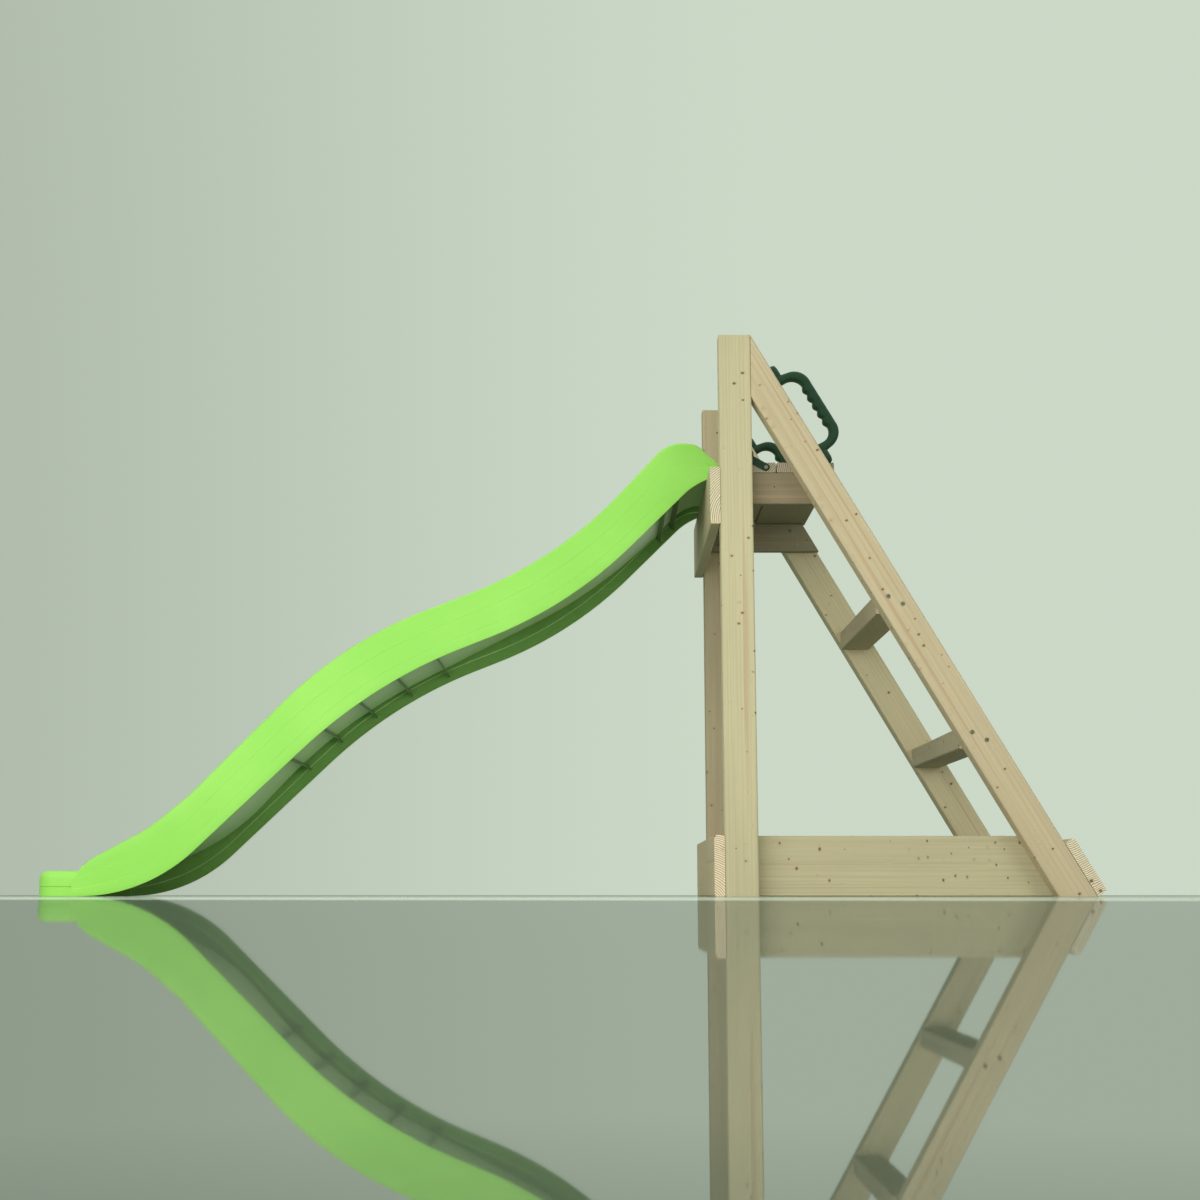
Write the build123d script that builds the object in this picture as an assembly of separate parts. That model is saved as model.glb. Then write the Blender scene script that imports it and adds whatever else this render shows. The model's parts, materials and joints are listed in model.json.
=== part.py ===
"""Free-standing children's wave slide on a timber A-frame ladder platform.

Millimetres, +Z up. The slide runs towards -X and the ladder leans towards +X.
The model is drawn with x = 0 at the slide-side faces of the two posts and the floor
at z = 0. It is moved at the end, so that the origin is the bottom centre of the whole.
"Left" and "right" are those of a child who sits on the platform and looks down the slide.
"""
import os
from math import atan2, cos, degrees, hypot, radians, sin, tan

from build123d import *

# ---- tower: overall sizes ----
TOWER_WIDTH = 620.0  # outside to outside of the posts, along Y
DECK_HEIGHT = 932.0  # top of the deck boards
POST_RISE = 276.0  # of the posts above the deck
LADDER_ANGLE = 30.0  # of the stringers, from the vertical

# ---- timber sections ----
FRAME_WIDE = 70.0  # posts and stringers, seen from the side
FRAME_THICK = 45.0  # posts and stringers, along Y
BOARD_WIDE = 125.0
BOARD_THICK = 22.0
RAIL_HIGH = 70.0
RAIL_THICK = 22.0
TREAD_DEEP = 70.0
TREAD_THICK = 45.0
TREAD_TOPS = (353.0, 642.0)
DECK_GAP = 2.0  # between the two deck boards
FRAME_EASE = 4.0  # rounding of the long edges
BOARD_EASE = 3.0
FRONT_BOARD_RISE = 1.0  # of the front board above the deck rails

# ---- moulded slide ----
SLIDE_REACH = 1464.0  # from the posts' faces to the tip of the toe
SLIDE_WIDTH = 390.0
SLIDE_RIM_WIDTH = 30.0
SLIDE_SKIN = 4.0
SLIDE_LIP = 62.0  # rests on the deck behind the posts' faces
TOE_HEIGHT = 54.0
TOE_LENGTH = 96.0
TOE_INSET = 5.0  # the toe is narrower than the skirts, on each side
TOE_CORNER = 35.0  # in plan
TOE_EDGE = 16.0  # along the top
RIM_ROUND = 10.0
RIM_START = 55.0  # height of the rim where it leaves the toe
RIM_END = 14.0  # the rim runs down to the lip this far behind the posts' faces
SEAT_CLEARANCE = 0.3
# Corners of the three lines that shape the slide, seen from the side, from the toe up.
# Each is (share of the reach, share of the deck height, radius of the bend).
SKIRT_LINE = (
    (0.838, 0.0, 467.0),
    (0.515, 0.489, 1050.0),
    (0.222, 0.673, 927.0),
    (0.036, 0.963, 150.0),
)
RIM_LINE = (
    (0.927, 0.080, 88.0),
    (0.838, 0.156, 326.0),
    (0.782, 0.230, 288.0),
    (0.560, 0.590, 875.0),
    (0.240, 0.786, 896.0),
    (0.072, 1.075, 79.0),
    (0.030, 1.069, 34.0),
)
BED_LINE = (
    (0.813, 0.056, 500.0),
    (0.593, 0.438, 1160.0),
    (0.153, 0.794, 1150.0),
    (0.035, 1.0, 95.0),
)
RIB_THICK = 3.0
RIB_DEPTH = 16.0
HUMP_RIB_PITCH = 100.0  # along the bed
HUMP_RIB_COUNT = 5
HUMP_RIB_START = 0.327  # share of the bed's length, from the toe
TOP_RIB_PITCH = 45.0
TOP_RIB_COUNT = 2
TOP_RIB_START = 0.885

# ---- hand grips ----
GRIP_LENGTH = 250.0
GRIP_HEIGHT = 63.0  # of the bar's outer side above the stringer
GRIP_WIDTH = 28.0
GRIP_FOOT = 48.0
GRIP_LUG = 27.0  # part of the foot outside the bar
GRIP_LUG_THICK = 11.0
GRIP_BAR = 21.0
GRIP_BEND = 38.0
GRIP_DROP = 80.0  # from the stringer's top point, measured along the stringer
GRIP_EASE = 4.0
GRIP_TAPER = 2.0  # how far the inside of each leg leans
GRIP_LEAN = 0.19  # lean of the outside of each leg, as a share of its height
GRIP_INNER_BEND = 0.7  # inner bend, as a share of the outer one
LUG_SIDE = 0.7  # height of a lug's end, as a share of its thickness
LUG_CROWN = 1.35  # height of a lug's crown, the same way
LUG_SCREW = 1.2  # height of a lug's screw head, the same way
FINGER_PITCH = 21.0
FINGER_COUNT = 5
FINGER_RADIUS = 6.5
FINGER_WIDTH = 20.0
FINGER_SINK = 0.55  # of a bump's radius, into the bar

# ---- corner clip between the left post and the deck ----
CLIP_THICK = 3.5
CLIP_WIDE = 16.0
CLIP_EYE_X = 103.5
CLIP_EYE_DROP = 11.0  # below the deck's top
CLIP_ANGLE = 30.0
CLIP_FOOT_LONG = 34.0
CLIP_SCREW_SHARE = 0.6  # place of the foot's screw, as a share of the foot
CLIP_RING_SHARE = 0.92  # radius of the eye's ring, as a share of half the clip's width
CLIP_RING_PROUD = 1.0

# ---- screws: shank diameter, head diameter, length ----
FRAME_SCREW = (6.0, 12.0, 110.0)
TREAD_SCREW = (5.0, 10.0, 90.0)
BOARD_SCREW = (4.5, 9.0, 50.0)
SMALL_SCREW = (4.0, 8.0, 30.0)
DECK_SCREW = (4.0, 8.0, 45.0)
HEAD_ANGLE_SHARE = 0.5  # height of a countersunk head, as a share of its diameter
SCREW_FIT = 0.05
RECESS_SHARE = 0.24  # across-corner radius of the driver recess, as a share of the head
RECESS_DEPTH = 0.6  # of the driver recess, as a share of the head's height
TIP_LENGTH = 1.5  # of the point, as a share of the shank
TREAD_SCREW_OFFSET = (15.0, 8.0)
RAIL_SCREW_SHARES = (0.25, 0.75)  # of a rail's height
DECK_SCREW_SHARES = (0.22, 0.78)  # of a board's width
FRONT_SCREW_SHARES = (0.2, 0.8)
FOOT_SCREW_SHARES = (0.3, 0.75)
STRINGER_SCREW_DROPS = (75.0, 115.0)  # below the posts' tops
LIP_SCREW_SHARE = 0.65  # of the lip
SLIDE_SCREW_SHARE = 0.3  # of the slide's width, from its middle

# ---- working values ----
BEND_SLACK = 0.98  # share of a straight run that two bends may use up
RIM_SAMPLES = 60
RIM_SEARCH = 40.0  # farthest that an edge of the rim lies from a sample of its line
CLOSE = 0.01

LEAN = radians(LADDER_ANGLE)
POST_HEIGHT = DECK_HEIGHT + POST_RISE
HALF_WIDTH = TOWER_WIDTH / 2
INNER_HALF = HALF_WIDTH - FRAME_THICK
RAIL_HALF = INNER_HALF - RAIL_THICK
RAIL_TOP = DECK_HEIGHT - BOARD_THICK
RAIL_BOTTOM = RAIL_TOP - RAIL_HIGH
FRONT_BOARD_TOP = RAIL_TOP + FRONT_BOARD_RISE
DOWN_SLOPE = Vector(sin(LEAN), 0, -cos(LEAN))
OUT_OF_SLOPE = Vector(cos(LEAN), 0, sin(LEAN))
SIDES = {"left": -1, "right": 1}


def slope_x(height, depth=0.0):
    """X of the stringers' outer edge at a height, or of a line `depth` inside it."""
    return FRAME_WIDE + (POST_HEIGHT - height) * tan(LEAN) - depth / cos(LEAN)


# ---- shapes ----
def ease_along(solid, direction, radius):
    """Round the straight edges that run along one direction."""
    def runs_along(edge):
        return edge.geom_type == GeomType.LINE and abs(edge.tangent_at(0.5).dot(direction)) > 0.9999
    return fillet(solid.edges().filter_by(runs_along), radius)


def side_face(points):
    """Flat face in the side view, from corner points (x, z)."""
    return make_face(Polyline(*[(x, 0, z) for x, z in points], close=True))


def side_prism(face, y_low, y_high):
    """Solid between two Y values, with a side-view face as its section."""
    return extrude(face.moved(Location((0, y_low, 0))), y_high - y_low, dir=(0, 1, 0))


def side_timber(points, y_low, y_high, direction, radius):
    """Length of timber given by its side view, with its long edges eased."""
    return ease_along(side_prism(side_face(points), y_low, y_high), direction, radius)


def cross_board(points):
    """Board as wide as the tower, with its long edges eased."""
    return side_timber(points, -HALF_WIDTH, HALF_WIDTH, Vector(0, 1, 0), BOARD_EASE)


def both_sides(side, inner, outer):
    """Lowest and highest Y of a piece between two half-widths, on one side."""
    return (inner, outer) if side > 0 else (-outer, -inner)


def bend_radii(points, radii):
    """Keep each bend's tangents inside the straight runs on its two sides."""
    steps = [(x1 - x0, z1 - z0) for (x0, z0), (x1, z1) in zip(points, points[1:])]
    runs = [hypot(*step) for step in steps]
    headings = [atan2(step[1], step[0]) for step in steps]
    tangents = [0.0]
    for i, radius in enumerate(radii):
        tangents.append(radius * tan(abs(headings[i + 1] - headings[i]) / 2))
    tangents.append(0.0)
    wanted = [max(tangents[i] + tangents[i + 1], CLOSE) for i in range(len(runs))]
    shares = [min(1.0, BEND_SLACK * run / tangent) for run, tangent in zip(runs, wanted)]
    return [radius * min(shares[i], shares[i + 1]) for i, radius in enumerate(radii)]


def parallel_bends(points, radii, distance):
    """Corners and radii of the line that runs `distance` to the left of a line of bends."""
    headings = [atan2(z1 - z0, x1 - x0) for (x0, z0), (x1, z1) in zip(points, points[1:])]
    moved = []
    for i, (x, z) in enumerate(points):
        before = headings[max(i - 1, 0)]
        after = headings[min(i, len(headings) - 1)]
        middle = (before + after) / 2
        reach = distance / cos((after - before) / 2)
        moved.append((x - reach * sin(middle), z + reach * cos(middle)))
    turned = [
        radius + (distance if headings[i + 1] < headings[i] else -distance) for i, radius in enumerate(radii)
    ]
    return moved, turned


def slide_points(line):
    """Corners of one of the slide's lines, in the side view."""
    return [(-reach * SLIDE_REACH, height * DECK_HEIGHT) for reach, height, _ in line]


def bend_curve(points, radii):
    """Straight runs joined by tangent arcs, in the side view."""
    return FilletPolyline(*[(x, 0, z) for x, z in points], radius=radii)


def region_between(lower, upper):
    """Side-view face between two lines that run the same way."""
    edges = list(lower.edges()) + list(upper.edges())
    edges.append(Line(lower @ 0, upper @ 0))
    edges.append(Line(lower @ 1, upper @ 1))
    return make_face(edges)


# ---- screws ----
def screw(head, direction, sizes):
    """Countersunk wood screw: flat of the head at `head`, shank along `direction`."""
    shank, head_wide, length = sizes
    head_high = head_wide * HEAD_ANGLE_SHARE
    tip = shank * TIP_LENGTH
    outline = [(0, 0), (head_wide / 2, 0), (shank / 2, head_high), (shank / 2, length - tip), (0, length)]
    body = revolve(make_face(Polyline(*[(r, 0, s) for r, s in outline], close=True)), Axis.Z)
    recess = extrude(RegularPolygon(head_wide * RECESS_SHARE, 6), head_high * RECESS_DEPTH)
    return Plane(origin=head, z_dir=direction).location * (body - recess)


def screw_hole(head, direction, sizes):
    """Space that a screw takes up, with its clearance."""
    shank, head_wide, length = sizes
    head_high = head_wide * HEAD_ANGLE_SHARE
    wide = head_wide / 2 + SCREW_FIT
    thin = shank / 2 + SCREW_FIT
    outline = [(0, -SCREW_FIT), (wide, -SCREW_FIT), (wide, SCREW_FIT), (thin, head_high + SCREW_FIT)]
    outline += [(thin, length - shank * TIP_LENGTH), (0, length + SCREW_FIT)]
    body = revolve(make_face(Polyline(*[(r, 0, s) for r, s in outline], close=True)), Axis.Z)
    return Plane(origin=head, z_dir=direction).location * body


def boxes_meet(one, other):
    """Whether two bounding boxes overlap."""
    return all(
        low_one < high_other and low_other < high_one
        for low_one, high_one, low_other, high_other in zip(one.min, one.max, other.min, other.max)
    )


def drilled(solid, holes):
    """Piece with every screw hole that reaches it."""
    box = solid.bounding_box()
    near = [hole for hole in holes if boxes_meet(box, hole.bounding_box())]
    return solid - near if near else solid


# ---- timber ----
def posts():
    """Two upright posts."""
    made = {}
    for name, side in SIDES.items():
        corners = [(0, 0), (FRAME_WIDE, 0), (FRAME_WIDE, POST_HEIGHT), (0, POST_HEIGHT)]
        low, high = both_sides(side, INNER_HALF, HALF_WIDTH)
        made[f"front_post_{name}"] = side_timber(corners, low, high, Vector(0, 0, 1), FRAME_EASE)
    return made


def stringers():
    """Two ladder sides, cut plumb against the posts and level at the floor."""
    made = {}
    plumb = FRAME_WIDE / sin(LEAN)
    corners = [
        (FRAME_WIDE, POST_HEIGHT),
        (FRAME_WIDE, POST_HEIGHT - plumb),
        (slope_x(0, FRAME_WIDE), 0),
        (slope_x(0), 0),
    ]
    for name, side in SIDES.items():
        low, high = both_sides(side, INNER_HALF, HALF_WIDTH)
        made[f"stringer_{name}"] = side_timber(corners, low, high, DOWN_SLOPE, FRAME_EASE)
    return made


def rails():
    """Deck rails and floor rails, inside the frames, cut flush with the stringers' outer edge."""
    made = {}
    for name, side in SIDES.items():
        low, high = both_sides(side, RAIL_HALF, INNER_HALF)
        for label, bottom, top in (("side_rail", RAIL_BOTTOM, RAIL_TOP), ("base_rail", 0.0, BOARD_WIDE)):
            corners = [(0, bottom), (slope_x(bottom), bottom), (slope_x(top), top), (0, top)]
            made[f"{label}_{name}"] = side_timber(corners, low, high, Vector(1, 0, 0), BOARD_EASE)
    return made


def deck_boards():
    """Two boards that lie across the deck rails."""
    made = {}
    for index, name in enumerate(("front", "rear")):
        start = index * (BOARD_WIDE + DECK_GAP)
        corners = [
            (start, RAIL_TOP),
            (start + BOARD_WIDE, RAIL_TOP),
            (start + BOARD_WIDE, DECK_HEIGHT),
            (start, DECK_HEIGHT),
        ]
        board = side_timber(corners, -INNER_HALF, INNER_HALF, Vector(0, 1, 0), BOARD_EASE)
        made[f"deck_board_{name}"] = board
    return made


def front_boards():
    """Cross boards on the posts' slide-side faces: one under the deck and one at the floor."""
    made = {}
    for name, top in (("front_top_board", FRONT_BOARD_TOP), ("front_base_board", BOARD_WIDE)):
        bottom = top - BOARD_WIDE
        made[name] = cross_board([(-BOARD_THICK, bottom), (0, bottom), (0, top), (-BOARD_THICK, top)])
    return made


def foot_board():
    """Board across the stringers' outer edges at the floor, square to their slope."""
    start = Vector(slope_x(0), 0, 0)
    corners = [
        start,
        start + OUT_OF_SLOPE * BOARD_THICK,
        start + OUT_OF_SLOPE * BOARD_THICK - DOWN_SLOPE * BOARD_WIDE,
        start - DOWN_SLOPE * BOARD_WIDE,
    ]
    return {"rear_foot_board": cross_board([(corner.X, corner.Z) for corner in corners])}


def tread_middle(top):
    """Middle of a tread's section, in the side view."""
    height = top - TREAD_THICK / 2
    return slope_x(height, FRAME_WIDE / 2), height


def treads():
    """Two level ladder treads between the stringers."""
    made = {}
    for name, top in zip(("lower", "upper"), TREAD_TOPS):
        middle, _ = tread_middle(top)
        near = middle - TREAD_DEEP / 2
        far = middle + TREAD_DEEP / 2
        corners = [(near, top - TREAD_THICK), (far, top - TREAD_THICK), (far, top), (near, top)]
        made[f"tread_{name}"] = side_timber(corners, -INNER_HALF, INNER_HALF, Vector(0, 1, 0), FRAME_EASE)
    return made


# ---- slide ----
def slide_lines():
    """Corners and radii of the skirt's lower edge, the rim's top and the bed's underside."""
    toe = -SLIDE_REACH
    skirt = [(toe + TOE_LENGTH, 0)] + slide_points(SKIRT_LINE)
    skirt.append((-BOARD_THICK - SEAT_CLEARANCE, FRONT_BOARD_TOP + SEAT_CLEARANCE))
    rim = [(toe + TOE_LENGTH, RIM_START)] + slide_points(RIM_LINE) + [(RIM_END, DECK_HEIGHT + SLIDE_SKIN)]
    bed = [(toe + SLIDE_SKIN, TOE_HEIGHT - SLIDE_SKIN)] + slide_points(BED_LINE) + [(SLIDE_LIP, DECK_HEIGHT)]
    radii = [[corner[2] for corner in line] for line in (SKIRT_LINE, RIM_LINE, BED_LINE)]
    return [(points, bend_radii(points, bends)) for points, bends in zip((skirt, rim, bed), radii)]


def wall_face(skirt, rim):
    """Side view of a wall, stepped at its upper end to sit on the front board and the deck."""
    lower = bend_curve(*skirt)
    upper = bend_curve(*rim)
    closing = Polyline(
        lower @ 1,
        (-SEAT_CLEARANCE, 0, FRONT_BOARD_TOP + SEAT_CLEARANCE),
        (-SEAT_CLEARANCE, 0, DECK_HEIGHT),
        (RIM_END, 0, DECK_HEIGHT),
        upper @ 1,
    )
    edges = list(lower.edges()) + list(upper.edges()) + list(closing.edges())
    edges.append(Line(lower @ 0, upper @ 0))
    return make_face(edges)


def slide_walls(skirt, rim, bed):
    """Side walls: an inner wall up from the bed, a rounded rim and an outer skirt, open below."""
    half = SLIDE_WIDTH / 2
    inner = half - SLIDE_RIM_WIDTH
    inside_rim = parallel_bends(*rim, -SLIDE_SKIN)
    hollow_lower = bend_curve(*skirt).moved(Location((0, 0, -DECK_HEIGHT)))
    hollow_face = region_between(hollow_lower, bend_curve(*inside_rim))
    underside = bend_curve(*bed)
    below_face = region_between(underside.moved(Location((0, 0, -DECK_HEIGHT))), underside)
    below = side_prism(below_face, SLIDE_SKIN - half, half - SLIDE_SKIN)
    walls = []
    for side in SIDES.values():
        full = side_prism(wall_face(skirt, rim), *both_sides(side, inner, half))
        hollow = side_prism(hollow_face, *both_sides(side, inner + SLIDE_SKIN, half - SLIDE_SKIN))
        wall = round_rim(full, rim, RIM_ROUND) - round_rim(hollow, inside_rim, RIM_ROUND - SLIDE_SKIN)
        walls.append(wall - below)
    return walls


def round_rim(solid, rim, radius):
    """Round the two upper long edges of a wall."""
    line = bend_curve(*rim)
    samples = [line @ (step / RIM_SAMPLES) for step in range(RIM_SAMPLES + 1)]

    def near_rim(edge):
        if abs(edge.tangent_at(0.5).Y) > CLOSE:
            return False
        middle = edge @ 0.5
        flat = Vector(middle.X, 0, middle.Z)
        nearest = min((flat - sample).length for sample in samples)
        return nearest < RIM_SEARCH and line.distance_to(flat) < CLOSE
    return fillet(solid.edges().filter_by(near_rim), radius)


def slide_bed(bed):
    """Sliding surface between the inner walls, ending in the lip on the deck."""
    half = SLIDE_WIDTH / 2 - SLIDE_RIM_WIDTH + SLIDE_SKIN / 2
    lower = bend_curve(*bed)
    upper = bend_curve(*parallel_bends(*bed, SLIDE_SKIN))
    return side_prism(region_between(lower, upper), -half, half)


def toe_block(grow, bottom):
    """Rounded toe, made smaller on every side by `grow`."""
    half = SLIDE_WIDTH / 2 - TOE_INSET - grow
    tip = -SLIDE_REACH + grow
    back = -SLIDE_REACH + TOE_LENGTH + grow
    top = TOE_HEIGHT - grow
    corners = [(tip, bottom), (back, bottom), (back, top), (tip, top)]
    block = side_prism(side_face(corners), -half, half)
    uprights = block.edges().filter_by(Axis.Z).sort_by(Axis.X)[:2]
    block = fillet(uprights, TOE_CORNER - grow)
    top_face = block.faces().sort_by(Axis.Z)[-1]
    top_edges = top_face.edges().filter_by(lambda edge: (edge @ 0.5).X < back - CLOSE)
    return fillet(top_edges, TOE_EDGE - grow)


def slide_ribs(bed):
    """Thin cross ribs under the bed: a row on the hump and a pair near the deck."""
    line = bend_curve(*bed)
    half = SLIDE_WIDTH / 2 - SLIDE_SKIN / 2
    places = [HUMP_RIB_START + step * HUMP_RIB_PITCH / line.length for step in range(HUMP_RIB_COUNT)]
    places += [TOP_RIB_START + step * TOP_RIB_PITCH / line.length for step in range(TOP_RIB_COUNT)]
    ribs = []
    for place in places:
        tangent = line % place
        rib = Box(RIB_THICK, 2 * half, RIB_DEPTH + SLIDE_SKIN / 2)
        rib = Location((0, 0, -RIB_DEPTH / 2 + SLIDE_SKIN / 4)) * rib
        turn = degrees(atan2(tangent.Z, tangent.X))
        ribs.append(Location(line @ place) * Location((0, 0, 0), (0, -turn, 0)) * rib)
    return ribs


def slide():
    """The whole slide, one hollow moulding."""
    skirt, rim, bed = slide_lines()
    toe = toe_block(0, 0) - toe_block(SLIDE_SKIN, -1)
    body = slide_bed(bed).fuse(*slide_walls(skirt, rim, bed), toe, *slide_ribs(bed))
    return {"slide": body}


# ---- hand grips ----
def grip_face():
    """Side view of a grip: x along the stringer from its upper end, z out of the stringer."""
    far = GRIP_LENGTH
    lug, thick, foot = GRIP_LUG, GRIP_LUG_THICK, GRIP_FOOT
    height = GRIP_HEIGHT
    shoulder = lug + (height - thick) * GRIP_LEAN
    outer = FilletPolyline(
        (lug, 0, thick),
        (shoulder, 0, height),
        (far - shoulder, 0, height),
        (far - lug, 0, thick),
        radius=GRIP_BEND,
    )
    inner_top = height - GRIP_BAR
    inner = FilletPolyline(
        (foot, 0, 0),
        (foot - GRIP_TAPER, 0, inner_top),
        (far - foot + GRIP_TAPER, 0, inner_top),
        (far - foot, 0, 0),
        radius=GRIP_BEND * GRIP_INNER_BEND,
    )
    edges = list(outer.edges()) + list(inner.edges())
    for end, sign in ((0, 1), (far, -1)):
        edges.append(Line((end, 0, 0), (end + sign * foot, 0, 0)))
        low = (end, 0, thick * LUG_SIDE)
        crown = (end + sign * lug / 2, 0, thick * LUG_CROWN)
        edges.append(Line((end, 0, 0), low))
        edges.append(ThreePointArc(low, crown, (end + sign * lug, 0, thick)))
    return make_face(edges)


def grip_place(side):
    """Frame of a grip: x down the stringer, z out of its outer edge."""
    start = Vector(FRAME_WIDE, side * (HALF_WIDTH - FRAME_THICK / 2), POST_HEIGHT) + DOWN_SLOPE * GRIP_DROP
    return Plane(origin=start, x_dir=DOWN_SLOPE, z_dir=OUT_OF_SLOPE)


def hand_grips():
    """Two moulded grips with finger bumps inside the loop."""
    made = {}
    half = GRIP_WIDTH / 2
    body = side_prism(grip_face(), -half, half)
    edges = body.edges().filter_by(lambda edge: abs(abs((edge @ 0.5).Y) - half) < CLOSE)
    edges = edges.filter_by(lambda edge: abs(edge.tangent_at(0.5).Y) < CLOSE)
    loop = edges.filter_by(lambda edge: (edge @ 0.5).Z > GRIP_LUG_THICK * LUG_SIDE / 2 + CLOSE)
    body = fillet(loop, GRIP_EASE)
    bump_z = GRIP_HEIGHT - GRIP_BAR + FINGER_RADIUS * FINGER_SINK
    for index in range(FINGER_COUNT):
        along = GRIP_LENGTH / 2 + (index - (FINGER_COUNT - 1) / 2) * FINGER_PITCH
        bump = Location((along, 0, bump_z), (90, 0, 0)) * Cylinder(FINGER_RADIUS, FINGER_WIDTH)
        body = body + bump
    for name, side in SIDES.items():
        made[f"hand_grip_{name}"] = grip_place(side).location * body
    return made


# ---- corner clip ----
def clip_points():
    """Eye of the clip on the deck board's end, and the middle of its foot on the post."""
    eye = Vector(CLIP_EYE_X, -INNER_HALF, DECK_HEIGHT - CLIP_EYE_DROP)
    rise = (CLIP_EYE_X - FRAME_WIDE) * tan(radians(CLIP_ANGLE))
    foot = Vector(FRAME_WIDE, -INNER_HALF - CLIP_FOOT_LONG * CLIP_SCREW_SHARE, eye.Z + rise)
    return eye, foot


def corner_clip():
    """Small moulded clip: a foot on the left post and a sloping arm on the deck board's end."""
    eye, foot = clip_points()
    slope = radians(CLIP_ANGLE)
    half = CLIP_WIDE / 2
    root_x = FRAME_WIDE - half
    back = Vector(root_x, 0, eye.Z + (CLIP_EYE_X - root_x) * tan(slope))
    middle = (Vector(eye.X, 0, eye.Z) + back) * 0.5
    length = (Vector(eye.X, 0, eye.Z) - back).length
    flat = SlotCenterToCenter(length, CLIP_WIDE)
    arm_plane = Plane(
        origin=(middle.X, -INNER_HALF, middle.Z), x_dir=(cos(slope), 0, -sin(slope)), z_dir=(0, -1, 0)
    )
    arm = extrude(arm_plane * flat, CLIP_THICK)
    behind_post = Box(2 * length, 2 * length, 2 * length)
    arm = arm & (Location((FRAME_WIDE + length, -INNER_HALF, eye.Z)) * behind_post)
    foot_middle = (FRAME_WIDE + CLIP_THICK / 2, -INNER_HALF - CLIP_FOOT_LONG / 2, foot.Z)
    foot_plate = Location(foot_middle) * Box(CLIP_THICK, CLIP_FOOT_LONG, CLIP_WIDE)
    ring_high = CLIP_THICK + CLIP_RING_PROUD
    ring = Cylinder(half * CLIP_RING_SHARE, ring_high)
    ring = Location(eye - Vector(0, ring_high / 2, 0), (90, 0, 0)) * ring
    return {"corner_clip": arm + foot_plate + ring}


# ---- fastener groups ----
def fastener_places():
    """Each group's screws: where the head's flat lies, which way the screw points, and its sizes."""
    groups = {}
    inward = {name: Vector(0, -side, 0) for name, side in SIDES.items()}
    outward = {name: Vector(0, side, 0) for name, side in SIDES.items()}
    post_x = FRAME_WIDE / 2

    along, down = TREAD_SCREW_OFFSET
    groups["tread_screws"] = [
        (Vector(x + step * along, side * HALF_WIDTH, z - step * down), inward[name], TREAD_SCREW)
        for x, z in map(tread_middle, TREAD_TOPS)
        for name, side in SIDES.items()
        for step in (-1, 1)
    ]
    rail_groups = (("side_rail_screws", RAIL_BOTTOM, RAIL_TOP), ("base_rail_screws", 0.0, BOARD_WIDE))
    for group, bottom, top in rail_groups:
        places = []
        for name, side in SIDES.items():
            for share in RAIL_SCREW_SHARES:
                height = bottom + (top - bottom) * share
                for x in (post_x, slope_x(height, FRAME_WIDE / 2)):
                    places.append((Vector(x, side * RAIL_HALF, height), outward[name], BOARD_SCREW))
        groups[group] = places
    rail_middle = INNER_HALF - RAIL_THICK / 2
    groups["deck_screws"] = [
        (
            Vector(index * (BOARD_WIDE + DECK_GAP) + BOARD_WIDE * share, side * rail_middle, DECK_HEIGHT),
            Vector(0, 0, -1),
            DECK_SCREW,
        )
        for index in range(2)
        for side in SIDES.values()
        for share in DECK_SCREW_SHARES
    ]
    post_middle = HALF_WIDTH - FRAME_THICK / 2
    groups["front_board_screws"] = [
        (Vector(-BOARD_THICK, side * post_middle, top - BOARD_WIDE * share), Vector(1, 0, 0), BOARD_SCREW)
        for top in (FRONT_BOARD_TOP, BOARD_WIDE)
        for side in SIDES.values()
        for share in FRONT_SCREW_SHARES
    ]
    foot_start = Vector(slope_x(0), 0, 0) + OUT_OF_SLOPE * BOARD_THICK
    groups["foot_board_screws"] = [
        (
            foot_start - DOWN_SLOPE * (BOARD_WIDE * share) + Vector(0, side * post_middle, 0),
            OUT_OF_SLOPE * -1,
            BOARD_SCREW,
        )
        for side in SIDES.values()
        for share in FOOT_SCREW_SHARES
    ]
    groups["stringer_top_screws"] = [
        (Vector(0, side * post_middle, POST_HEIGHT - drop), Vector(1, 0, 0), FRAME_SCREW)
        for side in SIDES.values()
        for drop in STRINGER_SCREW_DROPS
    ]
    groups["grip_screws"] = [
        (
            grip_place(side).from_local_coords(Vector(place, 0, GRIP_LUG_THICK * LUG_SCREW)),
            OUT_OF_SLOPE * -1,
            DECK_SCREW,
        )
        for side in SIDES.values()
        for place in (GRIP_LUG / 2, GRIP_LENGTH - GRIP_LUG / 2)
    ]
    lip_place = SLIDE_LIP * LIP_SCREW_SHARE
    groups["slide_screws"] = [
        (
            Vector(lip_place, side * SLIDE_WIDTH * SLIDE_SCREW_SHARE, DECK_HEIGHT + SLIDE_SKIN),
            Vector(0, 0, -1),
            SMALL_SCREW,
        )
        for side in SIDES.values()
    ]
    eye, foot = clip_points()
    groups["clip_screws"] = [
        (eye - Vector(0, CLIP_THICK + CLIP_RING_PROUD, 0), Vector(0, 1, 0), SMALL_SCREW),
        (foot + Vector(CLIP_THICK, 0, 0), Vector(-1, 0, 0), SMALL_SCREW),
    ]
    return groups


def build_parts():
    """Every node by name, in the shared frame, with its origin at the whole's bottom centre."""
    places = fastener_places()
    holes = [screw_hole(*place) for group in places.values() for place in group]
    timbers = (posts, stringers, rails, deck_boards, front_boards, foot_board, treads)
    pieces = {}
    for make in (*timbers, slide, hand_grips, corner_clip):
        for name, shape in make().items():
            pieces[name] = drilled(shape.solid(), holes)
    for name, group in places.items():
        pieces[name] = Compound([screw(*place).solids()[0] for place in group])
    low = min(piece.bounding_box().min.X for piece in pieces.values())
    high = max(piece.bounding_box().max.X for piece in pieces.values())
    shift = Location((-(low + high) / 2, 0, 0))
    return {name: shift * piece for name, piece in pieces.items()}


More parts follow.
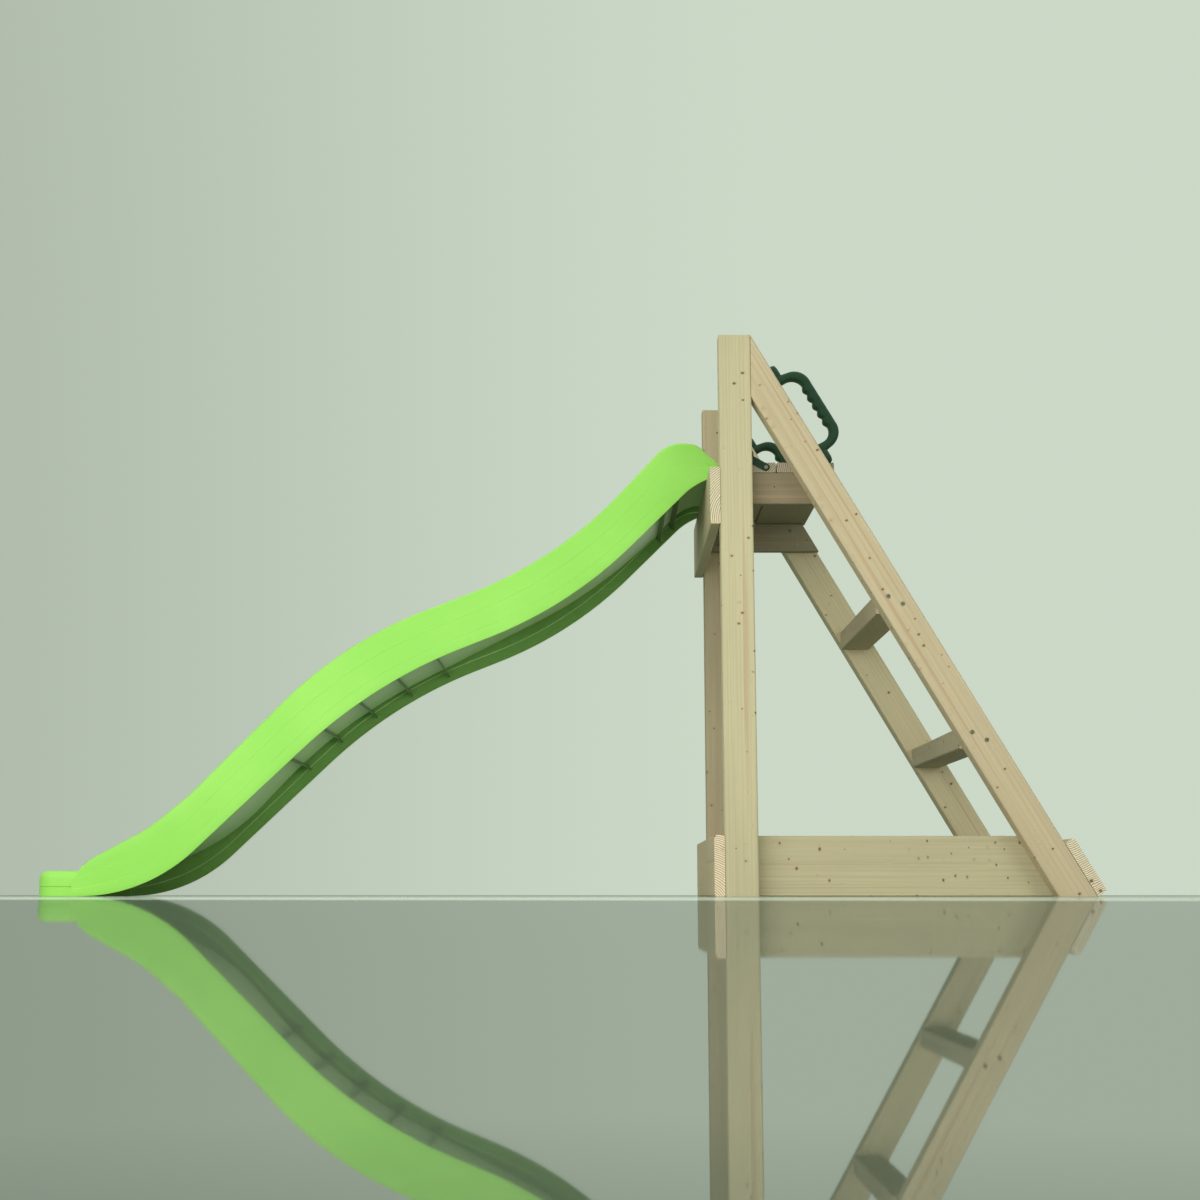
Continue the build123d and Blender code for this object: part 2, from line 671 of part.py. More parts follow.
def write_parts():
    """Write one STEP file for each node."""
    os.makedirs("parts", exist_ok=True)
    for name, piece in build_parts().items():
        piece.label = name
        export_step(piece, f"parts/{name}.step")


write_parts()
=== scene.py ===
"""Looks of a free-standing wave slide on a timber A-frame platform with a two-tread ladder.

Everything is in metres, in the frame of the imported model: +Z is up, the slide runs towards -X, the
ladder leans towards +X, and the origin is the bottom centre of the whole. The timbers and the corner
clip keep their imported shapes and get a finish. The slide, its ribs, the hand grips and the screws are
built here, with the detail of the moulded and turned pieces.
"""

import json
import logging
from bisect import bisect_right
from dataclasses import dataclass, field
from enum import Enum
from math import atan2, cos, hypot, pi, radians, sin, tan
from typing import NamedTuple

import bmesh
import bpy
import numpy as np
from mathutils import Euler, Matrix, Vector

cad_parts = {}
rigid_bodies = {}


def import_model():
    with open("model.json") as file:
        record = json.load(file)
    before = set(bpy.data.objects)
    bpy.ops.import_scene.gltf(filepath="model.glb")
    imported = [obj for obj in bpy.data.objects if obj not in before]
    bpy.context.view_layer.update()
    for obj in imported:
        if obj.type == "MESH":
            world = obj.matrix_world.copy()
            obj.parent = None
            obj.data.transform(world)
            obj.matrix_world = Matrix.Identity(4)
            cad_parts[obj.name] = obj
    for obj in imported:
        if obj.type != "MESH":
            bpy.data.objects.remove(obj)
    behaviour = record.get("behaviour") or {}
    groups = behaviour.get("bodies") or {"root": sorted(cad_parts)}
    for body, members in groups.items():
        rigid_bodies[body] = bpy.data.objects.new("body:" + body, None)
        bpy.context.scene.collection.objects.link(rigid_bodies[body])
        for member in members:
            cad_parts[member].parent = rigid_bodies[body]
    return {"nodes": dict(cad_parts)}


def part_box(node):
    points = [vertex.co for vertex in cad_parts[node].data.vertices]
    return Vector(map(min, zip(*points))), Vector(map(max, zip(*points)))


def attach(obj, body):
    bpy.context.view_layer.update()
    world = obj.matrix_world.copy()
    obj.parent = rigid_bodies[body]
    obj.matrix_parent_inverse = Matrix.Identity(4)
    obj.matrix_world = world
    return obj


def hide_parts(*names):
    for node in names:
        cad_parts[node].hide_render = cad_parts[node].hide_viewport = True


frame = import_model()

LOG = logging.getLogger("wave_slide")
BODY = "root"
LADDER_ANGLE = radians(30.0)  # of the stringers, from the vertical
MM = 0.001
MERGE = 1e-6  # metres within which two vertices are one
TINY = 1e-9  # keeps a division away from zero
NODE_STEP = 60  # between nodes in the node editor
PATTERN_SHARP = 32.0  # degrees above which an edge of a screw or a rib stays sharp
SIDES = {"left": -1, "right": 1}

Colour = tuple[float, float, float]
Cells = tuple[float, float, float]  # cells of a pattern for each metre, along and across it


class Grain(Enum):
    """Turn that brings a timber's length onto the pattern's X axis."""

    ALONG = (0.0, 0.0, 0.0)
    ACROSS = (0.0, 0.0, -pi / 2)
    UPRIGHT = (0.0, pi / 2, 0.0)
    DOWN_SLOPE = (0.0, LADDER_ANGLE - pi / 2, 0.0)


class Slot(Enum):
    """Material slots of the record that the pieces made here use."""

    SLIDE_PLASTIC = "slide_plastic"
    GRIP_PLASTIC = "grip_plastic"
    SCREW_STEEL = "screw_steel"


# ---- shared helpers ----
class NodeTree:
    """Short way to fill a node tree of any kind."""

    def __init__(self, tree: bpy.types.NodeTree) -> None:
        """Take a tree to fill.

        Args:
            tree: the tree.
        """
        self.tree = tree

    def node(self, kind: str, inputs: dict | None = None, **settings: object) -> bpy.types.Node:
        """Add a node.

        Args:
            kind: the node's type name.
            inputs: a value, an output socket or a list of them for each input, by name or index.
            settings: the node's own properties.

        Returns:
            The new node.
        """
        made = self.tree.nodes.new(kind)
        made.location = (NODE_STEP * len(self.tree.nodes), 0)
        for key, value in settings.items():
            setattr(made, key, value)
        for key, value in (inputs or {}).items():
            if isinstance(value, (list, bpy.types.NodeSocket)):
                for one in value if isinstance(value, list) else [value]:
                    self.tree.links.new(one, made.inputs[key])
            else:
                made.inputs[key].default_value = value
        return made

    def math(self, operation: str, *values: object) -> bpy.types.NodeSocket:
        """Result of a Math node on one to three numbers or sockets."""
        return self.node("ShaderNodeMath", dict(enumerate(values)), operation=operation).outputs[0]

    def smooth(
        self, value: bpy.types.NodeSocket, low: float, high: float, first: float = 0.0, last: float = 1.0
    ) -> bpy.types.NodeSocket:
        """Smooth step of a value.

        Args:
            value: the value.
            low: where the step starts.
            high: where it ends, which may be the smaller.
            first: result at the start.
            last: result at the end.

        Returns:
            The step's socket.
        """
        limits = {"From Min": low, "From Max": high, "To Min": first, "To Max": last}
        made = self.node("ShaderNodeMapRange", {"Value": value, **limits}, interpolation_type="SMOOTHSTEP")
        return made.outputs[0]


class ShaderTree(NodeTree):
    """Node tree of a new material."""

    def __init__(self, name: str) -> None:
        """Start an empty material.

        Args:
            name: the material's name.
        """
        self.material = bpy.data.materials.new(name)
        self.material.use_nodes = True
        super().__init__(self.material.node_tree)
        self.tree.nodes.clear()

    def vector_math(self, operation: str, first: object, second: object) -> bpy.types.NodeSocket:
        """Result of a Vector Math node on two vectors or sockets."""
        return self.node("ShaderNodeVectorMath", {0: first, 1: second}, operation=operation).outputs[0]

    def noise(self, vector: bpy.types.NodeSocket, scale: float, detail: float = 2.0) -> bpy.types.NodeSocket:
        """Noise from 0 to 1 on a vector."""
        inputs = {"Vector": vector, "Scale": scale, "Detail": detail}
        return self.node("ShaderNodeTexNoise", inputs).outputs[0]

    def stretched(self, vector: bpy.types.NodeSocket, cells: Cells) -> bpy.types.NodeSocket:
        """A vector scaled by a different number along each axis."""
        return self.node("ShaderNodeMapping", {"Vector": vector, "Scale": cells}).outputs[0]

    def mix(self, share: object, first: object, second: object) -> bpy.types.NodeSocket:
        """Colour between two others.

        Args:
            share: of the second colour, as a number or a socket.
            first: a colour or a socket.
            second: the same.

        Returns:
            The colour's socket.
        """
        colours = [(*c, 1.0) if isinstance(c, tuple) else c for c in (first, second)]
        made = self.node("ShaderNodeMix", {0: share, 6: colours[0], 7: colours[1]}, data_type="RGBA")
        return made.outputs[2]

    def shader(self, surface: dict, height: bpy.types.NodeSocket, strength: float, distance: float) -> None:
        """Finish the tree with a Principled shader and its bump.

        Args:
            surface: values or sockets for the shader's inputs.
            height: socket that gives the relief.
            strength: of the bump.
            distance: height of the relief, in metres.
        """
        bump = self.node("ShaderNodeBump", {"Height": height, "Strength": strength, "Distance": distance})
        shader = self.node("ShaderNodeBsdfPrincipled", {**surface, "Normal": bump.outputs[0]})
        self.node("ShaderNodeOutputMaterial", {"Surface": shader.outputs[0]})


def dress(piece: bpy.types.Object, material: bpy.types.Material) -> None:
    """Give a piece its material.

    Args:
        piece: the piece.
        material: what goes into its first material slot.
    """
    if piece.data.materials:
        piece.data.materials[0] = material
    else:
        piece.data.materials.append(material)


def finished(name: str, mesh: bpy.types.Mesh, nodes: list[str]) -> bpy.types.Object:
    """Put a mesh in the scene as a piece of the object.

    Args:
        name: the piece's name.
        mesh: its mesh, in the shared frame.
        nodes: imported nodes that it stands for.

    Returns:
        The new object, riding on the body.
    """
    piece = bpy.data.objects.new(name, mesh)
    bpy.context.scene.collection.objects.link(piece)
    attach(piece, BODY)
    if nodes:
        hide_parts(*nodes)
    LOG.info("%s: %d faces", name, len(mesh.polygons))
    return piece


def closed_mesh(name: str, shell: bmesh.types.BMesh, sharp: float) -> bpy.types.Mesh:
    """Turn a bmesh into a smooth-shaded mesh with its faces outwards.

    Args:
        name: the mesh's name.
        shell: the bmesh, which is freed.
        sharp: angle above which an edge stays sharp, in degrees.

    Returns:
        The new mesh.
    """
    loose = [vert for vert in shell.verts if not vert.link_faces]
    bmesh.ops.delete(shell, geom=loose, context="VERTS")
    bmesh.ops.remove_doubles(shell, verts=shell.verts, dist=MERGE)
    bmesh.ops.dissolve_degenerate(shell, edges=shell.edges, dist=MERGE)
    bmesh.ops.recalc_face_normals(shell, faces=shell.faces)
    mesh = bpy.data.meshes.new(name)
    shell.to_mesh(mesh)
    shell.free()
    mesh.polygons.foreach_set("use_smooth", [True] * len(mesh.polygons))
    mesh.set_sharp_from_angle(angle=radians(sharp))
    return mesh


def capped_sweep(shell: bmesh.types.BMesh, rings: list[list]) -> None:
    """Join rings of vertices into a solid with flat ends.

    Args:
        shell: the bmesh that holds the vertices.
        rings: the rings, from end to end, all with the same number of vertices.
    """
    for one, other in zip(rings, rings[1:]):
        for index in range(len(one)):
            after = (index + 1) % len(one)
            shell.faces.new((one[index], one[after], other[after], other[index]))
    shell.faces.new(rings[0])
    shell.faces.new(rings[-1])


def thick_sheet(shell: bmesh.types.BMesh, outer: list[list], inner: list[list], cells: set) -> None:
    """Closed sheet between two grids of vertices, with its inner faces in the second material slot.

    Args:
        shell: the bmesh that holds the vertices.
        outer: grid of the outer face.
        inner: grid of the inner face, the same size.
        cells: the (row, column) of each cell that the sheet has.
    """
    around = ((0, -1), (1, 0), (0, 1), (-1, 0))
    for i, j in sorted(cells):
        corners = ((i, j), (i + 1, j), (i + 1, j + 1), (i, j + 1))
        shell.faces.new([outer[a][b] for a, b in corners])
        shell.faces.new([inner[a][b] for a, b in reversed(corners)]).material_index = 1
        for index, (down, along) in enumerate(around):
            if (i + down, j + along) in cells:
                continue
            (a, b), (c, d) = corners[index], corners[(index + 1) % 4]
            shell.faces.new((outer[c][d], outer[a][b], inner[a][b], inner[c][d]))


def between(start: tuple[float, float], end: tuple[float, float], share: float) -> tuple[float, float]:
    """Point on the straight run from one point to another."""
    return start[0] + (end[0] - start[0]) * share, start[1] + (end[1] - start[1]) * share


def squared_ring(count: int, power: float) -> list[tuple[float, float]]:
    """Points round a circle of radius 1 that is squared off.

    Args:
        count: how many points.
        power: of the circle's sine and cosine; 1 leaves the circle round.

    Returns:
        The points.
    """
    turns = [2 * pi * step / count for step in range(count)]
    pairs = [(cos(turn), sin(turn)) for turn in turns]
    return [tuple((1 if value > 0 else -1) * abs(value) ** power for value in pair) for pair in pairs]


@dataclass(frozen=True)
class BendLine:
    """Straight runs joined by tangent arcs, in the side view.

    Attributes:
        corners: (x, z) of each corner, from end to end.
        radii: radius of the bend at each inner corner.
    """

    corners: tuple[tuple[float, float], ...]
    radii: tuple[float, ...]

    def fitted_radii(self, slack: float = 0.98) -> list[float]:
        """Each bend's radius, made smaller where the runs beside it are too short.

        Args:
            slack: share of a run that two bends may use up.

        Returns:
            One radius for each inner corner.
        """
        steps = [(x1 - x0, z1 - z0) for (x0, z0), (x1, z1) in zip(self.corners, self.corners[1:])]
        headings = [atan2(z, x) for x, z in steps]
        turns = [abs((after - before + pi) % (2 * pi) - pi) for before, after in zip(headings, headings[1:])]
        reaches = [0.0, *(radius * tan(turn / 2) for radius, turn in zip(self.radii, turns)), 0.0]
        shares = [
            min(1.0, slack * hypot(*step) / max(reaches[index] + reaches[index + 1], TINY))
            for index, step in enumerate(steps)
        ]
        return [radius * min(shares[index:index + 2]) for index, radius in enumerate(self.radii)]

    def samples(self, steps: int = 24) -> list[tuple[float, float]]:
        """Points of the line.

        Args:
            steps: how many steps each arc is cut into.

        Returns:
            The line's ends and the points of its arcs.
        """
        points = [self.corners[0]]
        for index, radius in enumerate(self.fitted_radii()):
            (x0, z0), (x1, z1), (x2, z2) = self.corners[index:index + 3]
            before = atan2(z1 - z0, x1 - x0)
            turn = (atan2(z2 - z1, x2 - x1) - before + pi) % (2 * pi) - pi
            reach = radius * tan(abs(turn) / 2)
            side = 1 if turn > 0 else -1
            start = Vector((x1 - reach * cos(before), z1 - reach * sin(before)))
            centre = start + Vector((-sin(before), cos(before))) * side * radius
            for step in range(steps + 1):
                heading = before + turn * step / steps
                place = centre + Vector((sin(heading), -cos(heading))) * side * radius
                points.append((place.x, place.y))
        points.append(self.corners[-1])
        return points


class HeightLine:
    """Height of a bend line at any X, and places along it."""

    def __init__(self, line: BendLine) -> None:
        """Sample a line that runs towards +X.

        Args:
            line: the bend line.
        """
        self.points = line.samples()
        self.xs = [x for x, _ in self.points]
        self.runs = [0.0]
        for (x0, z0), (x1, z1) in zip(self.points, self.points[1:]):
            self.runs.append(self.runs[-1] + hypot(x1 - x0, z1 - z0))

    def height(self, x: float) -> float:
        """Height at an X.

        Args:
            x: the place, held level past the line's ends.

        Returns:
            The height.
        """
        index = min(max(bisect_right(self.xs, x), 1), len(self.xs) - 1)
        (x0, z0), (x1, z1) = self.points[index - 1:index + 1]
        share = min(max((x - x0) / max(x1 - x0, TINY), 0.0), 1.0)
        return z0 + (z1 - z0) * share

    def place(self, distance: float) -> tuple[float, float, float]:
        """Place at a distance along the line.

        Args:
            distance: from the line's start.

        Returns:
            X, height and slope angle.
        """
        index = min(max(bisect_right(self.runs, distance), 1), len(self.runs) - 1)
        (x0, z0), (x1, z1) = self.points[index - 1:index + 1]
        share = (distance - self.runs[index - 1]) / max(self.runs[index] - self.runs[index - 1], TINY)
        return x0 + (x1 - x0) * share, z0 + (z1 - z0) * share, atan2(z1 - z0, x1 - x0)


# ---- finishes ----
class Pith(NamedTuple):
    """Where a timber was cut from its tree.

    Attributes:
        across: from the timber's middle to the heart of the tree, across the section.
        upward: the same, the other way across the section.
        along: place along the tree.
    """

    across: float
    upward: float
    along: float


@dataclass(frozen=True)
class PineFinish:
    """Planed softwood: growth rings in the round, fine fibre, small knots and a red pith.

    Attributes:
        early: colour between the rings.
        late: colour of the rings.
        end_early: colour between the rings on a cut end.
        end_late: colour of the rings on a cut end.
        knot: colour of a knot's core.
        pith: colour of the heart of the tree.
        ring_pitch: distance between rings, in metres.
        knot_spacing: mean distance between branches, in metres.
        knot_size: radius of the largest knots, in metres.
        knot_flat: how much shorter a knot is along the grain than across it.
        least_knot: added to every knot's radius, in metres.
        wander: how far the rings stray from true circles, in metres.
        knot_bend: how far the rings swell round a knot, in metres.
        ring_uneven: how far the rings' pitch strays, in metres.
        drift: cells of the rings' wander.
        fibre: cells of the fine fibre.
        streak: cells of the stronger and weaker stretches of the rings.
        blotch: cells of the slow change of shade.
        vein: cells of the red veins.
        relief: height of the grain, in metres.
    """

    early: Colour = (0.575, 0.495, 0.31)
    late: Colour = (0.530, 0.438, 0.264)
    end_early: Colour = (0.79, 0.73, 0.53)
    end_late: Colour = (0.40, 0.25, 0.12)
    knot: Colour = (0.115, 0.060, 0.032)
    pith: Colour = (0.44, 0.27, 0.155)
    ring_pitch: float = 4.3 * MM
    knot_spacing: float = 31 * MM
    knot_size: float = 3.6 * MM
    knot_flat: float = 1.3
    least_knot: float = 0.6 * MM
    wander: float = 13 * MM
    knot_bend: float = 1.6 * MM
    ring_uneven: float = 1.8 * MM
    drift: Cells = (0.42, 5.0, 5.0)
    fibre: Cells = (5.0, 420.0, 420.0)
    streak: Cells = (1.6, 38.0, 38.0)
    blotch: Cells = (3.0, 9.0, 9.0)
    vein: Cells = (0.9, 105.0, 105.0)
    relief: float = 0.6 * MM

    def material(
        self, name: str, grain: Grain, centre: Vector, pith: Pith, tone_and_shade: Colour
    ) -> bpy.types.Material:
        """Wood for one timber.

        Args:
            name: the material's name.
            grain: which way the timber runs.
            centre: middle of the timber.
            pith: where it was cut from its tree.
            tone_and_shade: what this timber's colour is multiplied by, its own tone together with painted
                shade.

        Returns:
            The material.
        """
        tree = ShaderTree(name)
        place, cut_end = self.axes(tree, grain, centre, pith.along)
        from_knot = self.from_knot(tree, place)
        ring = self.rings(tree, place, pith, from_knot)
        fibre = tree.noise(tree.stretched(place, self.fibre), 1.0, 3.0)
        streak = tree.noise(tree.stretched(place, self.streak), 1.0, 2.0)
        depth = tree.math("MULTIPLY", ring, tree.math("MULTIPLY_ADD", streak, 0.8, 0.05))

        sawn = tree.mix(ring, self.end_early, self.end_late)
        wood = tree.mix(cut_end, tree.mix(depth, self.early, self.late), sawn)
        wood = self.toned(tree, wood, fibre, tree.noise(tree.stretched(place, self.blotch), 1.0, 2.0), tone_and_shade)
        vein = tree.smooth(tree.noise(tree.stretched(place, self.vein), 1.0, 1.0), 0.64, 0.74)
        vein = tree.math("MULTIPLY", vein, tree.math("SUBTRACT", 0.42, cut_end))
        wood = tree.mix(tree.math("MAXIMUM", vein, 0.0), wood, self.pith)
        halo = tree.smooth(from_knot, 1.9, 0.9)
        wood = tree.mix(tree.math("MULTIPLY", halo, 0.34), wood, self.pith)
        core = tree.smooth(from_knot, 1.0, 0.62)
        wood = tree.mix(tree.math("MULTIPLY", core, 0.85), wood, self.knot)

        rough = tree.math("MULTIPLY_ADD", fibre, 0.22, tree.math("MULTIPLY_ADD", depth, -0.10, 0.50))
        height = tree.math("MULTIPLY_ADD", depth, 0.6, tree.math("MULTIPLY", fibre, 0.8))
        height = tree.math("SUBTRACT", height, tree.math("MULTIPLY", core, 0.5))
        surface = {"Base Color": wood, "Roughness": rough, "Specular IOR Level": 0.32}
        tree.shader(surface, height, 0.35, self.relief)
        return tree.material

    def axes(
        self, tree: ShaderTree, grain: Grain, centre: Vector, along: float
    ) -> tuple[bpy.types.NodeSocket, bpy.types.NodeSocket]:
        """Turn the pattern's X axis along the timber.

        Args:
            tree: the tree to add to.
            grain: which way the timber runs.
            centre: middle of the timber.
            along: the timber's place along its tree.

        Returns:
            The place in the pattern, and how far a face is a cut end.
        """
        turn = Euler(grain.value)
        shift = Vector((along, 0.0, 0.0)) - turn.to_matrix() @ centre
        where = tree.node("ShaderNodeTexCoord")
        placing = {"Vector": where.outputs["Object"], "Location": shift, "Rotation": turn}
        place = tree.node("ShaderNodeMapping", placing).outputs[0]
        facing = {"Vector": where.outputs["Normal"], "Rotation": turn}
        facing = tree.node("ShaderNodeMapping", facing, vector_type="VECTOR").outputs[0]
        facing = tree.node("ShaderNodeSeparateXYZ", {0: facing}).outputs[0]
        return place, tree.smooth(tree.math("ABSOLUTE", facing), 0.6, 0.85)

    def from_knot(self, tree: ShaderTree, place: bpy.types.NodeSocket) -> bpy.types.NodeSocket:
        """Distance from the nearest knot, as a share of its radius.

        Args:
            tree: the tree to add to.
            place: the place in the pattern.

        Returns:
            The distance's socket.
        """
        branches = tree.stretched(place, (self.knot_flat, 1.0, 1.0))
        knots = tree.node("ShaderNodeTexVoronoi", {"Vector": branches, "Scale": 1 / self.knot_spacing})
        gap = tree.math("MULTIPLY", knots.outputs["Distance"], self.knot_spacing)
        pick = tree.node("ShaderNodeSeparateColor", {0: knots.outputs["Color"]}).outputs[0]
        size = tree.math("MULTIPLY", tree.smooth(pick, -0.6, 1.0), self.knot_size)
        return tree.math("DIVIDE", gap, tree.math("ADD", size, self.least_knot))

    def rings(
        self, tree: ShaderTree, place: bpy.types.NodeSocket, pith: Pith, from_knot: bpy.types.NodeSocket
    ) -> bpy.types.NodeSocket:
        """Growth rings round the pith, which swell round the knots.

        Args:
            tree: the tree to add to.
            place: the place in the pattern.
            pith: where the timber was cut from its tree.
            from_knot: distance from the nearest knot, as a share of its radius.

        Returns:
            A socket that is 0 between the rings and 1 on them.
        """
        slow = {"Vector": tree.stretched(place, self.drift), "Scale": 1.0, "Detail": 1.0}
        drift = tree.node("ShaderNodeTexNoise", slow).outputs["Color"]
        drift = tree.vector_math("SUBTRACT", drift, (0.5, 0.5, 0.5))
        drift = tree.vector_math("MULTIPLY", drift, (self.wander,) * 3)
        axes = tree.node("ShaderNodeSeparateXYZ", {0: tree.vector_math("ADD", place, drift)})
        across = tree.math("SUBTRACT", axes.outputs[1], pith.across)
        upward = tree.math("SUBTRACT", axes.outputs[2], pith.upward)
        squared = tree.math("MULTIPLY_ADD", across, across, tree.math("MULTIPLY", upward, upward))
        radius = tree.math("SQRT", squared)
        swell = tree.smooth(from_knot, 3.4, 0.8)
        radius = tree.math("MULTIPLY_ADD", swell, self.knot_bend, radius)
        uneven = tree.noise(tree.node("ShaderNodeCombineXYZ", {0: radius}).outputs[0], 90.0, 1.0)
        radius = tree.math("MULTIPLY_ADD", uneven, self.ring_uneven, radius)
        wave = tree.math("SINE", tree.math("MULTIPLY", radius, 2 * pi / self.ring_pitch))
        return tree.smooth(wave, -0.25, 1.0)

    def toned(
        self, tree: ShaderTree, wood: bpy.types.NodeSocket, fibre: bpy.types.NodeSocket,
        blotch: bpy.types.NodeSocket, tone_and_shade: Colour,
    ) -> bpy.types.NodeSocket:
        """The wood's colour, shaded by its fibre and blotches and by the timber's tone, which holds painted
        shade for some timbers.

        Args:
            tree: the tree to add to.
            wood: the colour to shade.
            fibre: the fine fibre, from 0 to 1.
            blotch: the slow change of shade, from 0 to 1.
            tone_and_shade: what this timber's colour is multiplied by, its own tone together with painted
                shade.

        Returns:
            The shaded colour's socket.
        """
        shade = tree.math("MULTIPLY_ADD", fibre, 0.30, tree.math("MULTIPLY_ADD", blotch, 0.16, 0.77))
        shades = {index: tree.math("MULTIPLY", shade, share) for index, share in enumerate(tone_and_shade)}
        grey = tree.node("ShaderNodeCombineColor", shades).outputs[0]
        product = {"data_type": "RGBA", "blend_type": "MULTIPLY"}
        return tree.node("ShaderNodeMix", {0: 1.0, 6: wood, 7: grey}, **product).outputs[2]


@dataclass(frozen=True)
class MouldedFinish:
    """Moulded plastic with a fine surface texture, cloudy colour and faint rubbed lines.

    Attributes:
        light: lighter colour of the cloud.
        dark: darker colour of the cloud.
        rubbed: colour of the rubbed lines.
        rough: roughness between the rubbed lines.
        texture_scale: cells of the surface texture, for each metre.
        texture_depth: height of the surface texture, in metres.
        coat: weight of a clear sheen.
        cloud_scale: cells of the cloud, for each metre.
        patch_scale: cells of the patches that are rubbed, for each metre.
        line: cells of the rubbed lines.
    """

    light: Colour
    dark: Colour
    rubbed: Colour
    rough: float = 0.34
    texture_scale: float = 900.0
    texture_depth: float = 0.12 * MM
    coat: float = 0.15
    cloud_scale: float = 5.0
    patch_scale: float = 9.0
    line: Cells = (6.0, 380.0, 380.0)

    def material(self, name: str) -> bpy.types.Material:
        """The plastic, as a material.

        Args:
            name: the material's name.

        Returns:
            The material.
        """
        tree = ShaderTree(name)
        where = tree.node("ShaderNodeTexCoord").outputs["Object"]
        cloud = tree.smooth(tree.noise(where, self.cloud_scale, 3.0), 0.3, 0.7)
        lines = tree.smooth(tree.noise(tree.stretched(where, self.line), 1.0, 2.0), 0.58, 0.72)
        patch = tree.smooth(tree.noise(where, self.patch_scale, 2.0), 0.45, 0.75)
        rub = tree.math("MULTIPLY", lines, patch)
        colour = tree.mix(cloud, self.light, self.dark)
        colour = tree.mix(tree.math("MULTIPLY", rub, 0.22), colour, self.rubbed)
        grain = tree.node("ShaderNodeTexVoronoi", {"Vector": where, "Scale": self.texture_scale})
        fine = tree.math("MULTIPLY_ADD", tree.noise(where, 60.0, 2.0), 1.5, grain.outputs["Distance"])
        rough = tree.math("MULTIPLY_ADD", rub, 0.18, tree.math("MULTIPLY_ADD", cloud, 0.05, self.rough))
        surface = {"Base Color": colour, "Roughness": rough}
        surface |= {"Coat Weight": self.coat, "Coat Roughness": 0.25}
        tree.shader(surface, fine, 0.25, self.texture_depth)
        return tree.material


@dataclass(frozen=True)
class PlatedFinish:
    """Zinc-plated steel with a cloudy passivated film.

    Attributes:
        bright: colour of the clean plating.
        film: colour where the film is thick.
        cloud_scale: cells of the film, for each metre.
        grain_scale: cells of the fine grain, for each metre.
        grain_depth: height of the grain, in metres.
    """

    bright: Colour = (0.44, 0.40, 0.31)
    film: Colour = (0.27, 0.22, 0.14)
    cloud_scale: float = 420.0
    grain_scale: float = 1800.0
    grain_depth: float = 0.08 * MM

    def material(self, name: str) -> bpy.types.Material:
        """The plating, as a material.

        Args:
            name: the material's name.

        Returns:
            The material.
        """
        tree = ShaderTree(name)
        where = tree.node("ShaderNodeTexCoord").outputs["Object"]
        cloud = tree.noise(where, self.cloud_scale, 3.0)
        colour = tree.mix(tree.smooth(cloud, 0.35, 0.7), self.bright, self.film)
        rough = tree.math("MULTIPLY_ADD", cloud, 0.3, 0.22)
        surface = {"Base Color": colour, "Roughness": rough, "Metallic": 1.0}
        tree.shader(surface, tree.noise(where, self.grain_scale, 1.0), 0.2, self.grain_depth)
        return tree.material


@dataclass(frozen=True)
class Finishes:
    """The finishes of all the pieces.

    Attributes:
        pine: the timbers' wood.
        slide: the outside of the slide.
        under: the smoother plastic inside the slide's skirts, darker as painted shade.
        bed: the plastic of the bed's underside, paler as painted light.
        rib: the ribs under the bed, darkened as painted shade.
        grip: the hand grips and the corner clip.
        plated: the screws.
    """

    pine: PineFinish = PineFinish()
    slide: MouldedFinish = MouldedFinish(
        light=(0.320, 0.720, 0.109), dark=(0.287, 0.680, 0.095), rubbed=(0.46, 0.78, 0.26)
    )
    # darker than the outside as painted shade; the moulding's inside is the same plastic
    under: MouldedFinish = MouldedFinish(
        light=(0.25, 0.50, 0.12), dark=(0.21, 0.43, 0.10), rubbed=(0.33, 0.56, 0.20), rough=0.24, coat=0.4
    )
    # paler than the outside as painted light on the bed's underside
    bed: MouldedFinish = MouldedFinish(
        light=(0.60, 0.86, 0.42), dark=(0.52, 0.79, 0.35), rubbed=(0.66, 0.84, 0.50), rough=0.30, coat=0.2
    )
    # dark green as painted shade, for the shadow beside each rib
    rib: MouldedFinish = MouldedFinish(
        light=(0.13, 0.22, 0.07), dark=(0.10, 0.18, 0.055), rubbed=(0.20, 0.28, 0.13), rough=0.40, coat=0.0
    )
    grip: MouldedFinish = MouldedFinish(
        light=(0.005, 0.034, 0.013), dark=(0.004, 0.026, 0.010), rubbed=(0.016, 0.055, 0.026),
        rough=0.50, texture_scale=700.0, texture_depth=0.00016, coat=0.0,
    )
    plated: PlatedFinish = PlatedFinish()


